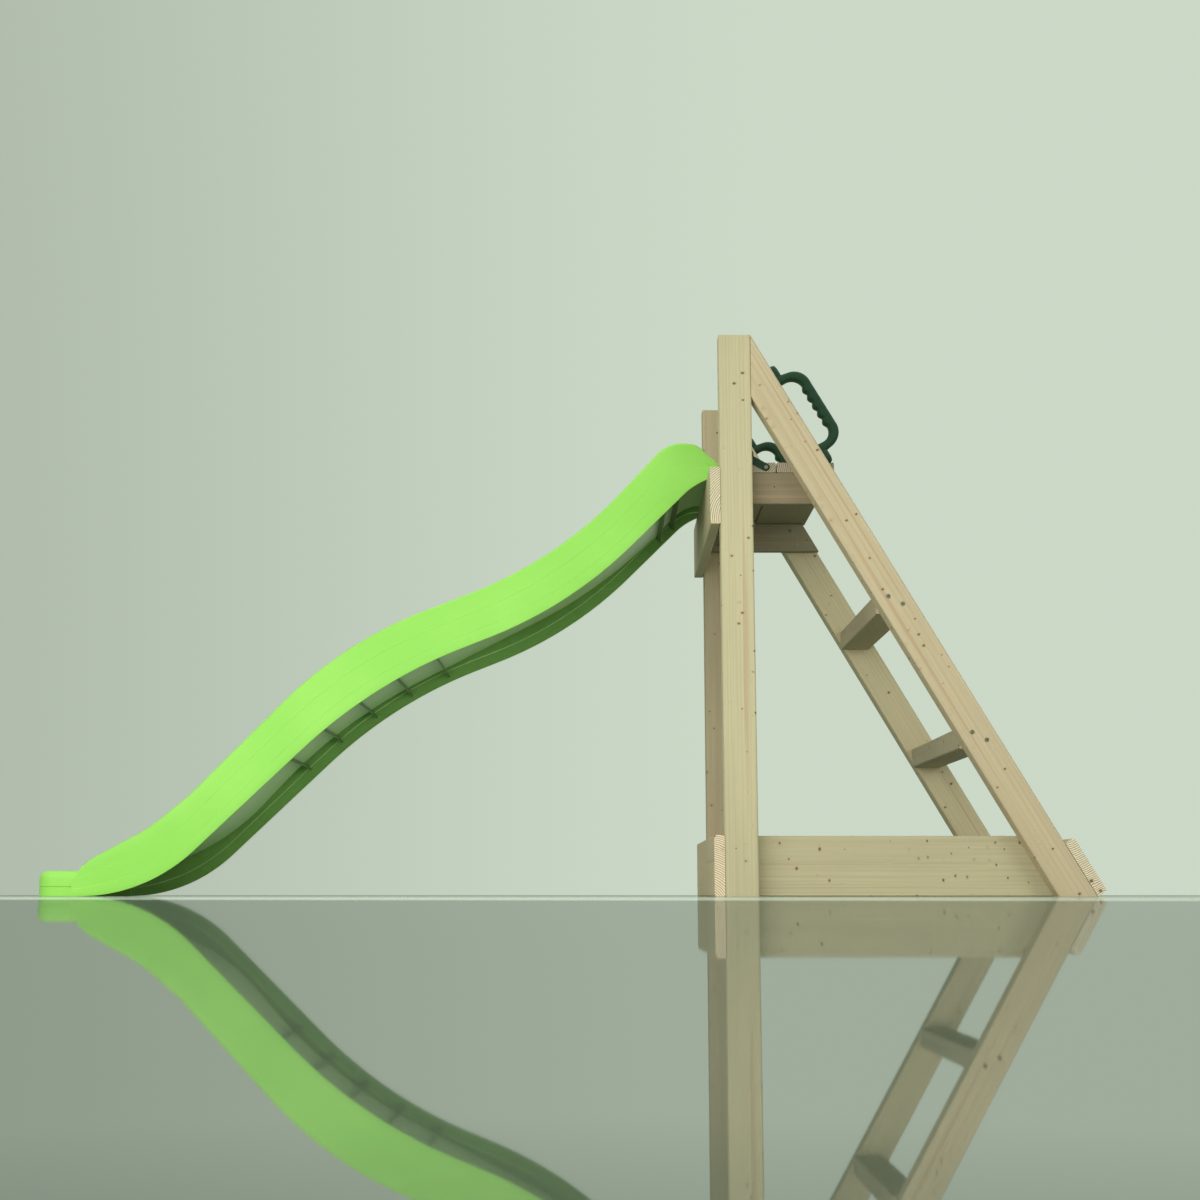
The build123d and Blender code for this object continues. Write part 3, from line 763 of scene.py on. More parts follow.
# ---- timber ----
@dataclass
class Timbers:
    """Every packed timber, with wood that runs the way the timber does.

    Attributes:
        finish: the wood.
        runs: grain direction and depth of colour for each family of nodes; the low depths of the far post,
            side rails, deck boards and treads are painted shade.
        hearts: places of the pith from a timber's middle, across its section, taken in turn.
        tones: colours that the wood is multiplied by, taken in turn.
        shift: how far each timber's wood is moved along from the last one's.
    """

    finish: PineFinish
    # depth of colour: painted shade darkens front_post_right (the far post), the side rails, the deck boards
    # and the treads; the other depths are the timbers' own tone
    runs: dict[str, tuple[Grain, float]] = field(default_factory=lambda: {
        "front_post_right": (Grain.UPRIGHT, 0.80),
        "front_post": (Grain.UPRIGHT, 1.0),
        "stringer": (Grain.DOWN_SLOPE, 0.99),
        "side_rail": (Grain.ALONG, 0.42),
        "base_rail": (Grain.ALONG, 0.93),
        "deck_board": (Grain.ACROSS, 0.54),
        "front_top_board": (Grain.ACROSS, 0.94),
        "front_base_board": (Grain.ACROSS, 1.04),
        "rear_foot_board": (Grain.ACROSS, 1.04),
        "tread": (Grain.ACROSS, 0.80),
    })
    hearts: tuple[tuple[float, float], ...] = (
        (0.092, 0.031), (-0.074, -0.052), (0.048, 0.101), (-0.108, 0.026), (0.037, -0.088), (0.071, -0.060),
    )
    tones: tuple[Colour, ...] = (
        (0.97, 1.0, 1.0), (1.0, 0.96, 0.98), (0.95, 0.96, 0.96), (0.98, 0.99, 1.03), (1.02, 0.97, 0.96),
    )
    shift: float = 1.73

    def dress_all(self, nodes: dict[str, bpy.types.Object]) -> None:
        """Give every timber its own wood.

        Args:
            nodes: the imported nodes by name.
        """
        count = 0
        for name in sorted(nodes):
            family = next((key for key in self.runs if name.startswith(key) and "screws" not in name), None)
            if family is None:
                continue
            grain, depth = self.runs[family]
            low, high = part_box(name)
            across, upward = self.hearts[count % len(self.hearts)]
            pith = Pith(across, upward, self.shift * (count + 1))
            # the family's depth brings its painted shade into the timber's tone
            tone_and_shade = tuple(depth * share for share in self.tones[count % len(self.tones)])
            dress(nodes[name], self.finish.material(f"pine_{name}", grain, (low + high) / 2, pith, tone_and_shade))
            LOG.info("%s: dressed in pine", name)
            count += 1


# ---- slide ----
@dataclass
class WaveSlide:
    """One moulding: bed, side walls, rolled rims, stepped skirts, toe and lip.

    Attributes:
        face_x: X of the posts' faces, where the slide ends.
        reach: from the posts' faces to the tip of the toe.
        deck: height of the deck's top.
        half_width: half of the width over the skirts.
        skin: thickness of the moulding.
        rim_width: from the inside of a side wall to the outside of its skirt.
        rim_round: radius of the rims' corners.
        bed_corner: radius between the bed and the side walls.
        draft: how far a side wall leans outwards over its height.
        ledge_step: how far each ledge of the skirts steps outwards.
        ledge_shares: places of the ledges, as shares of a skirt's height below the rim.
        ledge_high: half of a ledge's height.
        lip: how far the bed runs onto the deck.
        rim_end: how far the rims run onto the deck.
        board_thick: thickness of the front board that the skirts step over.
        board_drop: from the deck's top to the front board's top.
        seat: gap between the slide and the timbers that it sits on.
        least_wall: least height of a rim above the bed.
        toe_height: height of the toe's top.
        toe_length: from the tip to the start of the skirts.
        toe_inset: how far the toe's sides lie inside the skirts.
        toe_corner: radius of the toe's corners, seen from above.
        toe_edge: radius of the toe's upper edge.
        toe_crease: height of the crease round the toe.
        toe_proud: how far the toe's base stands out below the crease.
        toe_overlap: how far the toe runs in under the bed.
        fold_reach: how far the skirts' fronts are pulled towards the toe.
        fold_length: how far behind their fronts that pull fades out.
        rim_start: height of the rims where they start.
        station_pitch: distance between the sections along the slide.
        crest: from the posts' faces to where the upper end turns down.
        skirt_bends: lower edge of the skirts, as (share of reach, share of deck height, radius).
        rim_bends: top of the rims, the same way.
        bed_bends: underside of the bed, the same way.
    """

    face_x: float
    reach: float
    deck: float
    half_width: float
    skin: float = 4 * MM
    rim_width: float = 30 * MM
    rim_round: float = 10 * MM
    bed_corner: float = 24 * MM
    draft: float = 4 * MM
    ledge_step: float = 1.7 * MM
    ledge_shares: tuple[float, float] = (0.40, 0.76)
    ledge_high: float = 1.1 * MM
    lip: float = 62 * MM
    rim_end: float = 14 * MM
    board_thick: float = 22 * MM
    board_drop: float = 21 * MM
    seat: float = 0.3 * MM
    least_wall: float = 5 * MM
    toe_height: float = 54 * MM
    toe_length: float = 96 * MM
    toe_inset: float = 5 * MM
    toe_corner: float = 35 * MM
    toe_edge: float = 16 * MM
    toe_crease: float = 19 * MM
    toe_proud: float = 0.8 * MM
    toe_overlap: float = 6 * MM
    fold_reach: float = 20 * MM
    fold_length: float = 60 * MM
    rim_start: float = 55 * MM
    station_pitch: float = 7.5 * MM
    crest: float = 130 * MM
    skirt_bends: tuple = (
        (0.838, 0.0, 0.467), (0.515, 0.489, 1.050), (0.222, 0.673, 0.927), (0.036, 0.963, 0.150),
    )
    rim_bends: tuple = (
        (0.927, 0.080, 0.088), (0.838, 0.156, 0.326), (0.782, 0.230, 0.288), (0.560, 0.590, 0.875),
        (0.240, 0.786, 0.896), (0.072, 1.075, 0.079), (0.030, 1.069, 0.034),
    )
    bed_bends: tuple = (
        (0.813, 0.056, 0.500), (0.593, 0.438, 1.160), (0.153, 0.794, 1.150), (0.035, 1.0, 0.095),
    )

    BED_SHARES = (0.0, 0.3, 0.6, 0.85)  # points across half of the bed
    CORNER_STEPS = 6  # round the bed's corner
    RIM_STEPS = 5  # round each corner of a rim
    TOE_STEPS = 10  # round each corner of the toe
    EDGE_STEPS = 8  # round the toe's upper edge

    def __post_init__(self) -> None:
        """Work out the three lines that shape the slide."""
        tip = self.face_x - self.reach
        back = tip + self.toe_length
        self.back = back
        board_top = self.deck - self.board_drop
        lip_end = (self.face_x + self.lip, self.deck)
        rim_end = (self.face_x + self.rim_end, self.deck + self.skin + self.least_wall)
        skirt_end = (self.face_x - self.board_thick - self.seat, board_top + self.seat)
        self.skirt = self.line((back, 0.0), self.skirt_bends, skirt_end)
        self.rim = self.line((back, self.rim_start), self.rim_bends, rim_end)
        self.bed = self.line((tip + self.skin, self.toe_height - self.skin), self.bed_bends, lip_end)

    def line(self, start: tuple[float, float], bends: tuple, end: tuple[float, float]) -> HeightLine:
        """Height line through a start, the bends and an end.

        Args:
            start: (x, z) of the lower end.
            bends: (share of reach, share of deck height, radius) of each bend.
            end: (x, z) of the upper end.

        Returns:
            The line, ready to be asked for heights.
        """
        inner = [(self.face_x - far * self.reach, high * self.deck) for far, high, _ in bends]
        return HeightLine(BendLine((start, *inner, end), tuple(radius for _, _, radius in bends)))

    def bed_top(self, x: float) -> float:
        """Height of the sliding surface, square to the bed's slope.

        Args:
            x: the place.

        Returns:
            The height.
        """
        ahead = self.bed.height(x + MM)
        slope = (ahead - self.bed.height(x - MM)) / (2 * MM)
        return self.bed.height(x) + self.skin * hypot(1.0, slope)

    def skirt_edge(self, x: float) -> float:
        """Lower edge of the skirt, stepped up over the front board and the deck.

        Args:
            x: the place.

        Returns:
            The height.
        """
        if x > self.face_x - self.seat:
            return self.deck
        return self.skirt.height(x)

    def half_section(self, x: float) -> list[tuple[Vector, Vector]]:
        """Half of the section, from the middle of the bed to the skirt's edge.

        Args:
            x: where the section is.

        Returns:
            (y, z) of each outer point, and the step from it to the inner one.
        """
        bed = self.bed_top(x)
        rim = max(self.rim.height(x), bed + self.least_wall)
        wall = rim - bed
        edge = self.skirt_edge(x)
        corner = min(self.bed_corner, 0.45 * wall)
        crown = min(self.rim_round, 0.35 * wall)
        thin = min(self.skin, crown)
        foot = self.half_width - self.rim_width - self.draft
        head = self.half_width - self.rim_width
        top = self.half_width - 2 * self.ledge_step
        rows = []
        for share in self.BED_SHARES:
            rows.append((Vector((share * (foot - corner), bed)), Vector((0.0, -self.skin))))
        for step in range(self.CORNER_STEPS + 1):
            turn = pi / 2 * (step / self.CORNER_STEPS - 1)
            way = Vector((cos(turn), sin(turn)))
            rows.append((Vector((foot - corner, bed + corner)) + way * corner, way * self.skin))
        for share in (0.35, 0.7):
            high = bed + corner + (wall - corner - crown) * share
            rows.append((Vector((foot + (head - foot) * share, high)), Vector((self.skin, 0.0))))
        for middle, first in ((head + crown, pi), (top - crown, pi / 2)):
            for step in range(self.RIM_STEPS + 1):
                turn = first - pi / 2 * step / self.RIM_STEPS
                way = Vector((cos(turn), sin(turn)))
                rows.append((Vector((middle, rim - crown)) + way * crown, way * -thin))
        rows += self.skirt_rows(rim, crown, edge, thin)
        return rows

    def skirt_rows(self, rim: float, crown: float, edge: float, thin: float) -> list[tuple[Vector, Vector]]:
        """Rows of the outer skirt, with its two ledges.

        Args:
            rim: height of the rim's top.
            crown: radius of the rim.
            edge: height of the skirt's lower edge.
            thin: thickness of the skirt.

        Returns:
            (y, z) of each outer point, and the step from it to the inner one.
        """
        tall = rim - edge
        ledge = min(self.ledge_high, 0.03 * tall)
        marks = []
        for index, share in enumerate(self.ledge_shares):
            high = rim - share * tall
            marks += [(high + ledge, index), (high + ledge * 0.35, index + 0.25), (high - ledge, index + 1)]
        start = rim - crown
        middles = [(start + marks[0][0]) / 2, (marks[2][0] + marks[3][0]) / 2, (marks[5][0] + edge) / 2]
        places = [(middles[0], 0), *marks[:3], (middles[1], 1), *marks[3:]]
        places += [(middles[2], 2), (edge + 2 * MM, 2), (edge, 1.7)]
        rows = []
        for high, steps in places:
            out = self.half_width - (2 - steps) * self.ledge_step
            rows.append((Vector((out, max(min(high, start), edge))), Vector((-thin, 0.0))))
        return rows

    def stations(self) -> list[float]:
        """Places of the sections, closer together where the upper end turns down.

        Returns:
            X of each, from the toe to the end of the lip.
        """
        back = self.back
        crest = self.face_x - self.crest
        count = round((crest - back) / self.station_pitch)
        places = [back + (crest - back) * step / count for step in range(count)]
        board = self.face_x - self.board_thick - self.seat
        fine = self.station_pitch / 2
        count = round((board - crest) / fine)
        places += [crest + (board - crest) * step / count for step in range(count + 1)]
        places += [self.face_x - gap for gap in (15 * MM, 8 * MM, 2 * self.seat, 0.0)]
        places += [self.face_x + share * self.rim_end for share in (0.3, 0.6, 0.85, 1.0)]
        places += [self.face_x + self.lip * share for share in (0.5, 0.9, 1.0)]
        return places

    def shell(self) -> bmesh.types.BMesh:
        """Bed, walls and skirts as one closed shell, open where the moulding is open.

        Returns:
            A new bmesh that holds it.
        """
        made = bmesh.new()
        bed_limit = self.half_width - self.rim_width
        outer, inner = [], []
        for x in self.stations():
            half = self.half_section(x)
            near = max(0.0, 1.0 - (x - self.back) / self.fold_length)
            mirrored = [(Vector((-p.x, p.y)), Vector((-s.x, s.y))) for p, s in reversed(half[1:])]
            points = []
            for place, step in mirrored + half:
                fold = self.fold(place.y, near) if abs(place.x) > bed_limit else 0.0
                points.append((Vector((x - fold, place.x, place.y)), Vector((0.0, step.x, step.y))))
            outer.append([made.verts.new(point) for point, _ in points])
            inner.append([made.verts.new(point + step) for point, step in points])
        thick_sheet(made, outer, inner, self.shell_cells(len(outer), len(outer[0])))
        return made

    def shell_cells(self, sections: int, points: int) -> set[tuple[int, int]]:
        """Cells of the shell: the whole width up to the rims' end, and only the bed on the lip.

        Args:
            sections: how many sections the shell has.
            points: how many points each section has.

        Returns:
            The (section, point) of each cell.
        """
        middle = (points - 1) // 2
        bed_points = len(self.BED_SHARES) + self.CORNER_STEPS
        lip_sections = 4
        return {
            (i, j)
            for i in range(sections - 1)
            for j in range(points - 1)
            if i < sections - lip_sections or middle - bed_points <= j < middle + bed_points
        }

    def fold(self, z: float, near: float) -> float:
        """How far a skirt's front is pulled towards the toe.

        Args:
            z: height of the place.
            near: 1 at the skirt's front and 0 where the pull has faded out.

        Returns:
            The distance.
        """
        low = 1.0 - min(z / self.rim_start, 1.0)
        return self.fold_reach * near * near * (1.0 - (1.0 - low) ** 2)

    def rim_caps(self, shell: bmesh.types.BMesh) -> None:
        """Close the front of each rim, above the toe's rounded edge, with a thin plate.

        Args:
            shell: the bmesh to add them to.
        """
        front = self.back
        low = self.toe_height - self.toe_edge - 6 * MM
        high = self.bed_top(front) + self.least_wall - MM
        inside = self.half_width - self.rim_width - self.draft - 3 * MM
        outside = self.half_width - 2 * self.ledge_step - MM
        count = 8
        for side in SIDES.values():
            outer, inner = [], []
            for step in range(count + 1):
                z = low + (high - low) * step / count
                x = front - self.fold(z, 1.0) + MM
                outer.append([shell.verts.new((x, side * y, z)) for y in (inside, outside)])
                inner.append([shell.verts.new((x + 2 * MM, side * y, z)) for y in (inside, outside)])
            thick_sheet(shell, outer, inner, {(step, 0) for step in range(count)})

    def toe_ring(self, inset: float) -> list[Vector]:
        """Plan outline of the toe's sides and front, moved inwards.

        Args:
            inset: how far inwards.

        Returns:
            (x, y) of each point, from one side's rear end round the front to the other's.
        """
        tip = self.face_x - self.reach + inset
        back = self.back + self.toe_overlap
        side_end = back - 20 * MM
        half = self.half_width - self.toe_inset - inset
        radius = self.toe_corner - inset
        ring = [Vector((back, half)), Vector((side_end, half))]
        for side, first in ((1, 0.5), (-1, 1.0)):
            for step in range(self.TOE_STEPS + 1):
                turn = pi * (first + step / self.TOE_STEPS / 2)
                middle = Vector((tip + radius, side * (half - radius)))
                ring.append(middle + Vector((cos(turn), sin(turn))) * radius)
        return ring + [Vector((side_end, -half)), Vector((back, -half))]

    def toe(self, shell: bmesh.types.BMesh) -> None:
        """Add the toe to the shell: a creased, rounded cap, open below and at its rear.

        Args:
            shell: the bmesh to add it to.
        """
        crease, proud, edge, skin = self.toe_crease, self.toe_proud, self.toe_edge, self.skin
        groove = 2.0 * MM
        levels = [
            (0.0, 1.2 * MM), (1.0 * MM, proud), (crease - 2.2 * MM, proud), (crease - 0.6 * MM, groove),
            (crease + 0.6 * MM, groove), (crease + 2.0 * MM, 0.0), (self.toe_height - edge, 0.0),
        ]
        for step in range(1, self.EDGE_STEPS + 1):
            turn = pi / 2 * step / self.EDGE_STEPS
            levels.append((self.toe_height - edge + edge * sin(turn), edge * (1 - cos(turn))))
        outer, inner = [], []
        for z, gap in levels:
            inner_z = min(z, self.toe_height - skin)
            outer.append([shell.verts.new((p.x, p.y, z)) for p in self.toe_ring(gap)])
            inner.append([shell.verts.new((p.x, p.y, inner_z)) for p in self.toe_ring(gap + skin)])
        middle = Vector((self.back + self.toe_overlap, 0.0))
        tops = ((outer, edge, self.toe_height), (inner, edge + skin, self.toe_height - skin))
        for share in (0.75, 0.5, 0.25, 0.0):
            for grid, gap, z in tops:
                points = [middle + (p - middle) * share for p in self.toe_ring(gap)]
                grid.append([shell.verts.new((p.x, p.y, z)) for p in points])
        cells = {(i, j) for i in range(len(outer) - 1) for j in range(len(outer[0]) - 1)}
        thick_sheet(shell, outer, inner, cells)

    def build(
        self, material: bpy.types.Material, under: bpy.types.Material, bed: bpy.types.Material
    ) -> bpy.types.Object:
        """Make the slide's moulding.

        Args:
            material: the plastic of the outside.
            under: the smoother plastic inside the skirts, darker as painted shade.
            bed: the plastic of the bed's underside, paler as painted light.

        Returns:
            The piece.
        """
        shell = self.shell()
        self.toe(shell)
        self.rim_caps(shell)
        mesh = closed_mesh("slide_moulding", shell, sharp=21.0)
        piece = finished("slide_moulding", mesh, ["slide"])
        dress(piece, material)
        piece.data.materials.append(under)
        piece.data.materials.append(bed)
        # inside faces that look down, the bed's underside, take the paler plastic of painted light
        looks_down = -0.5
        for face in mesh.polygons:
            if face.material_index == 1 and face.normal.z < looks_down:
                face.material_index = 2
        return piece


# ---- repeated pieces, by node trees ----
class PatternTree(NodeTree):
    """A geometry node tree with named inputs, which ends in Realize Instances and Set Material."""

    def __init__(self, name: str, sizes: dict[str, float], material: bpy.types.Material) -> None:
        """Start a tree.

        Args:
            name: the tree's name.
            sizes: its number inputs and their values.
            material: what the result is made of.
        """
        super().__init__(bpy.data.node_groups.new(name, "GeometryNodeTree"))
        self.material = material
        self.ids = {}
        sockets = self.tree.interface
        sockets.new_socket("Places", in_out="INPUT", socket_type="NodeSocketGeometry")
        for key, value in sizes.items():
            socket = sockets.new_socket(key, in_out="INPUT", socket_type="NodeSocketFloat")
            socket.default_value = value
            self.ids[key] = socket.identifier
        sockets.new_socket("Pieces", in_out="OUTPUT", socket_type="NodeSocketGeometry")
        self.start = self.node("NodeGroupInput")

    def size(self, key: str) -> bpy.types.NodeSocket:
        """The socket of a named size."""
        return self.start.outputs[key]

    def vector(self, x: object = 0.0, y: object = 0.0, z: object = 0.0) -> bpy.types.NodeSocket:
        """Vector from three numbers or sockets."""
        return self.node("ShaderNodeCombineXYZ", {0: x, 1: y, 2: z}).outputs[0]

    def moved(self, shape: bpy.types.NodeSocket, **inputs: object) -> bpy.types.NodeSocket:
        """A shape moved or turned."""
        return self.node("GeometryNodeTransform", {"Geometry": shape, **inputs}).outputs[0]

    def attribute(self, name: str) -> bpy.types.NodeSocket:
        """The places' own vector of that name."""
        kind = {"data_type": "FLOAT_VECTOR"}
        return self.node("GeometryNodeInputNamedAttribute", {"Name": name}, **kind).outputs[0]

    def instances(self, shape: bpy.types.NodeSocket, rotation: bpy.types.NodeSocket) -> bpy.types.NodeSocket:
        """A shape at every place.

        Args:
            shape: what is put there.
            rotation: how it is turned.

        Returns:
            The instances.
        """
        points = self.node("GeometryNodeMeshToPoints", {"Mesh": self.start.outputs["Places"]}).outputs[0]
        put = {"Points": points, "Instance": shape, "Rotation": rotation}
        return self.node("GeometryNodeInstanceOnPoints", put).outputs[0]

    def end(self, instances: bpy.types.NodeSocket) -> None:
        """Close the tree.

        Args:
            instances: what the tree has made.
        """
        real = self.node("GeometryNodeRealizeInstances", {"Geometry": instances}).outputs[0]
        done = self.node("GeometryNodeSetMaterial", {"Geometry": real, "Material": self.material}).outputs[0]
        self.node("NodeGroupOutput", {"Pieces": done})

    def mesh(self, name: str, places: bpy.types.Mesh, sizes: dict[str, float]) -> bpy.types.Mesh:
        """Run the tree on a set of places.

        Args:
            name: the result's name.
            places: a mesh whose vertices are the places.
            sizes: the numbers for this run.

        Returns:
            A plain mesh, with no modifier.
        """
        carrier = bpy.data.objects.new(f"{name}_places", places)
        bpy.context.scene.collection.objects.link(carrier)
        modifier = carrier.modifiers.new("pattern", "NODES")
        modifier.node_group = self.tree
        for key, value in sizes.items():
            modifier[self.ids[key]] = value
        bpy.context.view_layer.update()
        graph = bpy.context.evaluated_depsgraph_get()
        made = bpy.data.meshes.new_from_object(carrier.evaluated_get(graph), depsgraph=graph)
        carrier.modifiers.remove(modifier)
        bpy.data.objects.remove(carrier)
        made.name = name
        made.set_sharp_from_angle(angle=radians(PATTERN_SHARP))
        return made


def places_mesh(name: str, points: list[Vector], vectors: dict[str, list]) -> bpy.types.Mesh:
    """Mesh of loose points for a pattern.

    Args:
        name: the mesh's name.
        points: the places.
        vectors: a vector for each place, by attribute name.

    Returns:
        The new mesh.
    """
    mesh = bpy.data.meshes.new(name)
    mesh.from_pydata(points, [], [])
    for key, values in vectors.items():
        attribute = mesh.attributes.new(key, "FLOAT_VECTOR", "POINT")
        attribute.data.foreach_set("vector", [number for value in values for number in value])
    return mesh


@dataclass
class Screws:
    """Countersunk cross-recess wood screws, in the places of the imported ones.

    Attributes:
        material: the screws' metal.
        recess_share: width of the recess, as a share of the head.
        recess_depth: depth of the two slots' cutters, the same way.
        slot_share: width of one slot of the recess, the same way.
        land_share: height of the head's straight rim, the same way.
        core_share: diameter of the shank inside its thread, as a share of the thread's.
        point_share: length of the point, as a share of the shank's diameter.
        pitch_share: thread pitch, the same way.
        ridge_share: radius of the thread's ridge, the same way.
        thread_share: length of the thread, as a share of the straight shank.
        sides: sides of the head and the shank.
        turn_steps: steps in one turn of the thread.
        seed: of the turn that each head is left at.
    """

    material: bpy.types.Material
    recess_share: float = 0.58
    recess_depth: float = 0.44
    slot_share: float = 0.15
    land_share: float = 0.04
    core_share: float = 0.86
    point_share: float = 1.5
    pitch_share: float = 0.5
    ridge_share: float = 0.06
    thread_share: float = 0.62
    sides: int = 36
    turn_steps: int = 14
    seed: int = 7

    def tree(self) -> PatternTree:
        """Tree that puts a screw at each place, along its axis.

        Returns:
            The tree.
        """
        sizes = {"Head": 0.01, "Shank": 0.005, "Length": 0.05}
        tree = PatternTree("screw_pattern", sizes, self.material)
        head, shank, length = (tree.size(key) for key in sizes)
        high = tree.math("MULTIPLY", head, 0.5)
        point = tree.math("MULTIPLY", shank, self.point_share)
        straight = tree.math("SUBTRACT", tree.math("SUBTRACT", length, point), high)
        parts = [
            self.head(tree, head, high),
            *self.shank(tree, shank, high, straight, point),
            self.thread(tree, shank, high, straight),
        ]
        whole = tree.node("GeometryNodeJoinGeometry", {0: parts}).outputs[0]
        aim = {"Vector": tree.attribute("screw_axis")}
        aim = tree.node("FunctionNodeAlignRotationToVector", aim, axis="Z").outputs[0]
        put = tree.instances(whole, aim)
        spin = tree.node("FunctionNodeRandomValue", {"Max": 2 * pi, "Seed": self.seed}, data_type="FLOAT")
        turn = tree.vector(z=next(socket for socket in spin.outputs if socket.enabled))
        tree.end(tree.node("GeometryNodeRotateInstances", {"Instances": put, "Rotation": turn}).outputs[0])
        return tree

    def head(
        self, tree: PatternTree, head: bpy.types.NodeSocket, high: bpy.types.NodeSocket
    ) -> bpy.types.NodeSocket:
        """Countersunk head with a cross recess, its flat at the origin.

        Args:
            tree: the tree to add to.
            head: diameter of the head.
            high: height of its cone.

        Returns:
            The head.
        """
        half = tree.math("MULTIPLY", head, 0.5)
        neck = tree.math("MULTIPLY", tree.size("Shank"), 0.5)
        land = tree.math("MULTIPLY", head, self.land_share)
        cone = {"Vertices": self.sides, "Radius Top": neck, "Radius Bottom": half, "Depth": high}
        cone = tree.node("GeometryNodeMeshCone", cone).outputs[0]
        cone = tree.moved(cone, Translation=tree.vector(z=land))
        rim = {"Vertices": self.sides, "Radius": half, "Depth": land}
        rim = tree.node("GeometryNodeMeshCylinder", rim).outputs[0]
        rim = tree.moved(rim, Translation=tree.vector(z=tree.math("MULTIPLY", land, 0.5)))
        deep, wide, thin = (
            tree.math("MULTIPLY", head, share)
            for share in (self.recess_depth, self.recess_share, self.slot_share)
        )
        slots = [
            tree.node("GeometryNodeMeshCube", {"Size": tree.vector(x, y, deep)}).outputs[0]
            for x, y in ((wide, thin), (thin, wide))
        ]
        kind = "GeometryNodeMeshBoolean"
        blank = tree.node(kind, {"Mesh": [rim, cone]}, operation="UNION", solver="EXACT").outputs[0]
        cut = {"Mesh 1": blank, "Mesh 2": slots}
        return tree.node(kind, cut, operation="DIFFERENCE", solver="EXACT").outputs[0]

    def shank(
        self, tree: PatternTree, shank: bpy.types.NodeSocket, high: bpy.types.NodeSocket,
        straight: bpy.types.NodeSocket, point: bpy.types.NodeSocket,
    ) -> list[bpy.types.NodeSocket]:
        """Core of the shank and its point, below the head.

        Args:
            tree: the tree to add to.
            shank: diameter over the thread.
            high: height of the head.
            straight: length of the straight shank.
            point: length of the point.

        Returns:
            The straight core and the point.
        """
        core = tree.math("MULTIPLY", tree.math("MULTIPLY", shank, 0.5), self.core_share)
        rod = {"Vertices": self.sides, "Radius": core, "Depth": straight}
        rod = tree.node("GeometryNodeMeshCylinder", rod).outputs[0]
        rod = tree.moved(rod, Translation=tree.vector(z=tree.math("MULTIPLY_ADD", straight, 0.5, high)))
        tip = {"Vertices": self.sides, "Radius Top": 0.0, "Radius Bottom": core, "Depth": point}
        tip = tree.node("GeometryNodeMeshCone", tip).outputs[0]
        start = tree.math("SUBTRACT", tree.size("Length"), point)
        return [rod, tree.moved(tip, Translation=tree.vector(z=start))]

    def thread(
        self, tree: PatternTree, shank: bpy.types.NodeSocket, high: bpy.types.NodeSocket,
        straight: bpy.types.NodeSocket,
    ) -> bpy.types.NodeSocket:
        """Ridge that winds round the lower part of the shank.

        Args:
            tree: the tree to add to.
            shank: diameter over the thread.
            high: height of the head.
            straight: length of the straight shank.

        Returns:
            The thread.
        """
        bite = 0.02  # from the core to the ridge's middle, as a share of the shank's radius
        threaded = tree.math("MULTIPLY", straight, self.thread_share)
        turns = tree.math("DIVIDE", threaded, tree.math("MULTIPLY", shank, self.pitch_share))
        radius = tree.math("MULTIPLY", tree.math("MULTIPLY", shank, 0.5), self.core_share + bite)
        coil = {"Resolution": self.turn_steps, "Rotations": turns, "Height": threaded}
        coil |= {"Start Radius": radius, "End Radius": radius}
        coil = tree.node("GeometryNodeCurveSpiral", coil).outputs[0]
        lift = tree.math("ADD", high, tree.math("MULTIPLY", straight, 1 - self.thread_share))
        coil = tree.moved(coil, Translation=tree.vector(z=lift))
        ridge = {"Resolution": 4, "Radius": tree.math("MULTIPLY", shank, self.ridge_share)}
        ridge = tree.node("GeometryNodeCurvePrimitiveCircle", ridge).outputs[0]
        sweep = {"Curve": coil, "Profile Curve": ridge, "Fill Caps": True}
        return tree.node("GeometryNodeCurveToMesh", sweep).outputs[0]

    def build(self, nodes: dict[str, bpy.types.Object]) -> None:
        """Make every group of screws.

        Args:
            nodes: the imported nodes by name.
        """
        tree = self.tree()
        for name in sorted(key for key in nodes if key.endswith("_screws")):
            heads, axes, sizes = packed_screws(nodes[name])
            places = places_mesh(f"{name}_heads", heads, {"screw_axis": axes})
            mesh = tree.mesh(f"turned_{name}", places, sizes)
            finished(f"turned_{name}", mesh, [name])


def joined_to(first: bmesh.types.BMVert) -> set[bmesh.types.BMVert]:
    """Every vertex that edges join to a first one.

    Args:
        first: the vertex to start from.

    Returns:
        The vertices, with the first one.
    """
    island, waiting = {first}, [first]
    while waiting:
        for edge in waiting.pop().link_edges:
            for vert in edge.verts:
                if vert not in island:
                    island.add(vert)
                    waiting.append(vert)
    return island


def packed_screws(node: bpy.types.Object) -> tuple[list[Vector], list[Vector], dict[str, float]]:
    """Where the screws of a packed group are.

    Args:
        node: the group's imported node.

    Returns:
        The middle of each head's flat, the way each screw points, and the sizes of one.
    """
    shell = bmesh.new()
    shell.from_mesh(node.data)
    bmesh.ops.remove_doubles(shell, verts=shell.verts, dist=MERGE)
    left = set(shell.verts)
    heads, axes, sizes = [], [], {}
    for first in list(shell.verts):
        if first not in left:
            continue
        island = joined_to(first)
        left -= island
        cloud = np.array([vert.co for vert in island])
        middle = (cloud.min(0) + cloud.max(0)) / 2
        spread = np.linalg.svd(cloud - cloud.mean(0), full_matrices=False)[2]
        axis = spread[0]
        along = (cloud - middle) @ axis
        wide = np.linalg.norm((cloud - middle) - np.outer(along, axis), axis=1)
        on_head = wide > 0.9 * wide.max()
        if along[on_head].mean() > 0:
            axis, along = -axis, -along
        flat = cloud[along < along.min() + 0.1 * MM]
        heads.append(Vector((flat.min(0) + flat.max(0)) / 2))
        axes.append(Vector(axis))
        sizes = {"Head": 2 * float(wide.max()), "Length": float(along.max() - along.min())}
    shell.free()
    sizes["Shank"] = sizes["Head"] / 2
    order = sorted(range(len(heads)), key=lambda index: tuple(round(value, 5) for value in heads[index]))
    return [heads[index] for index in order], [axes[index] for index in order], sizes


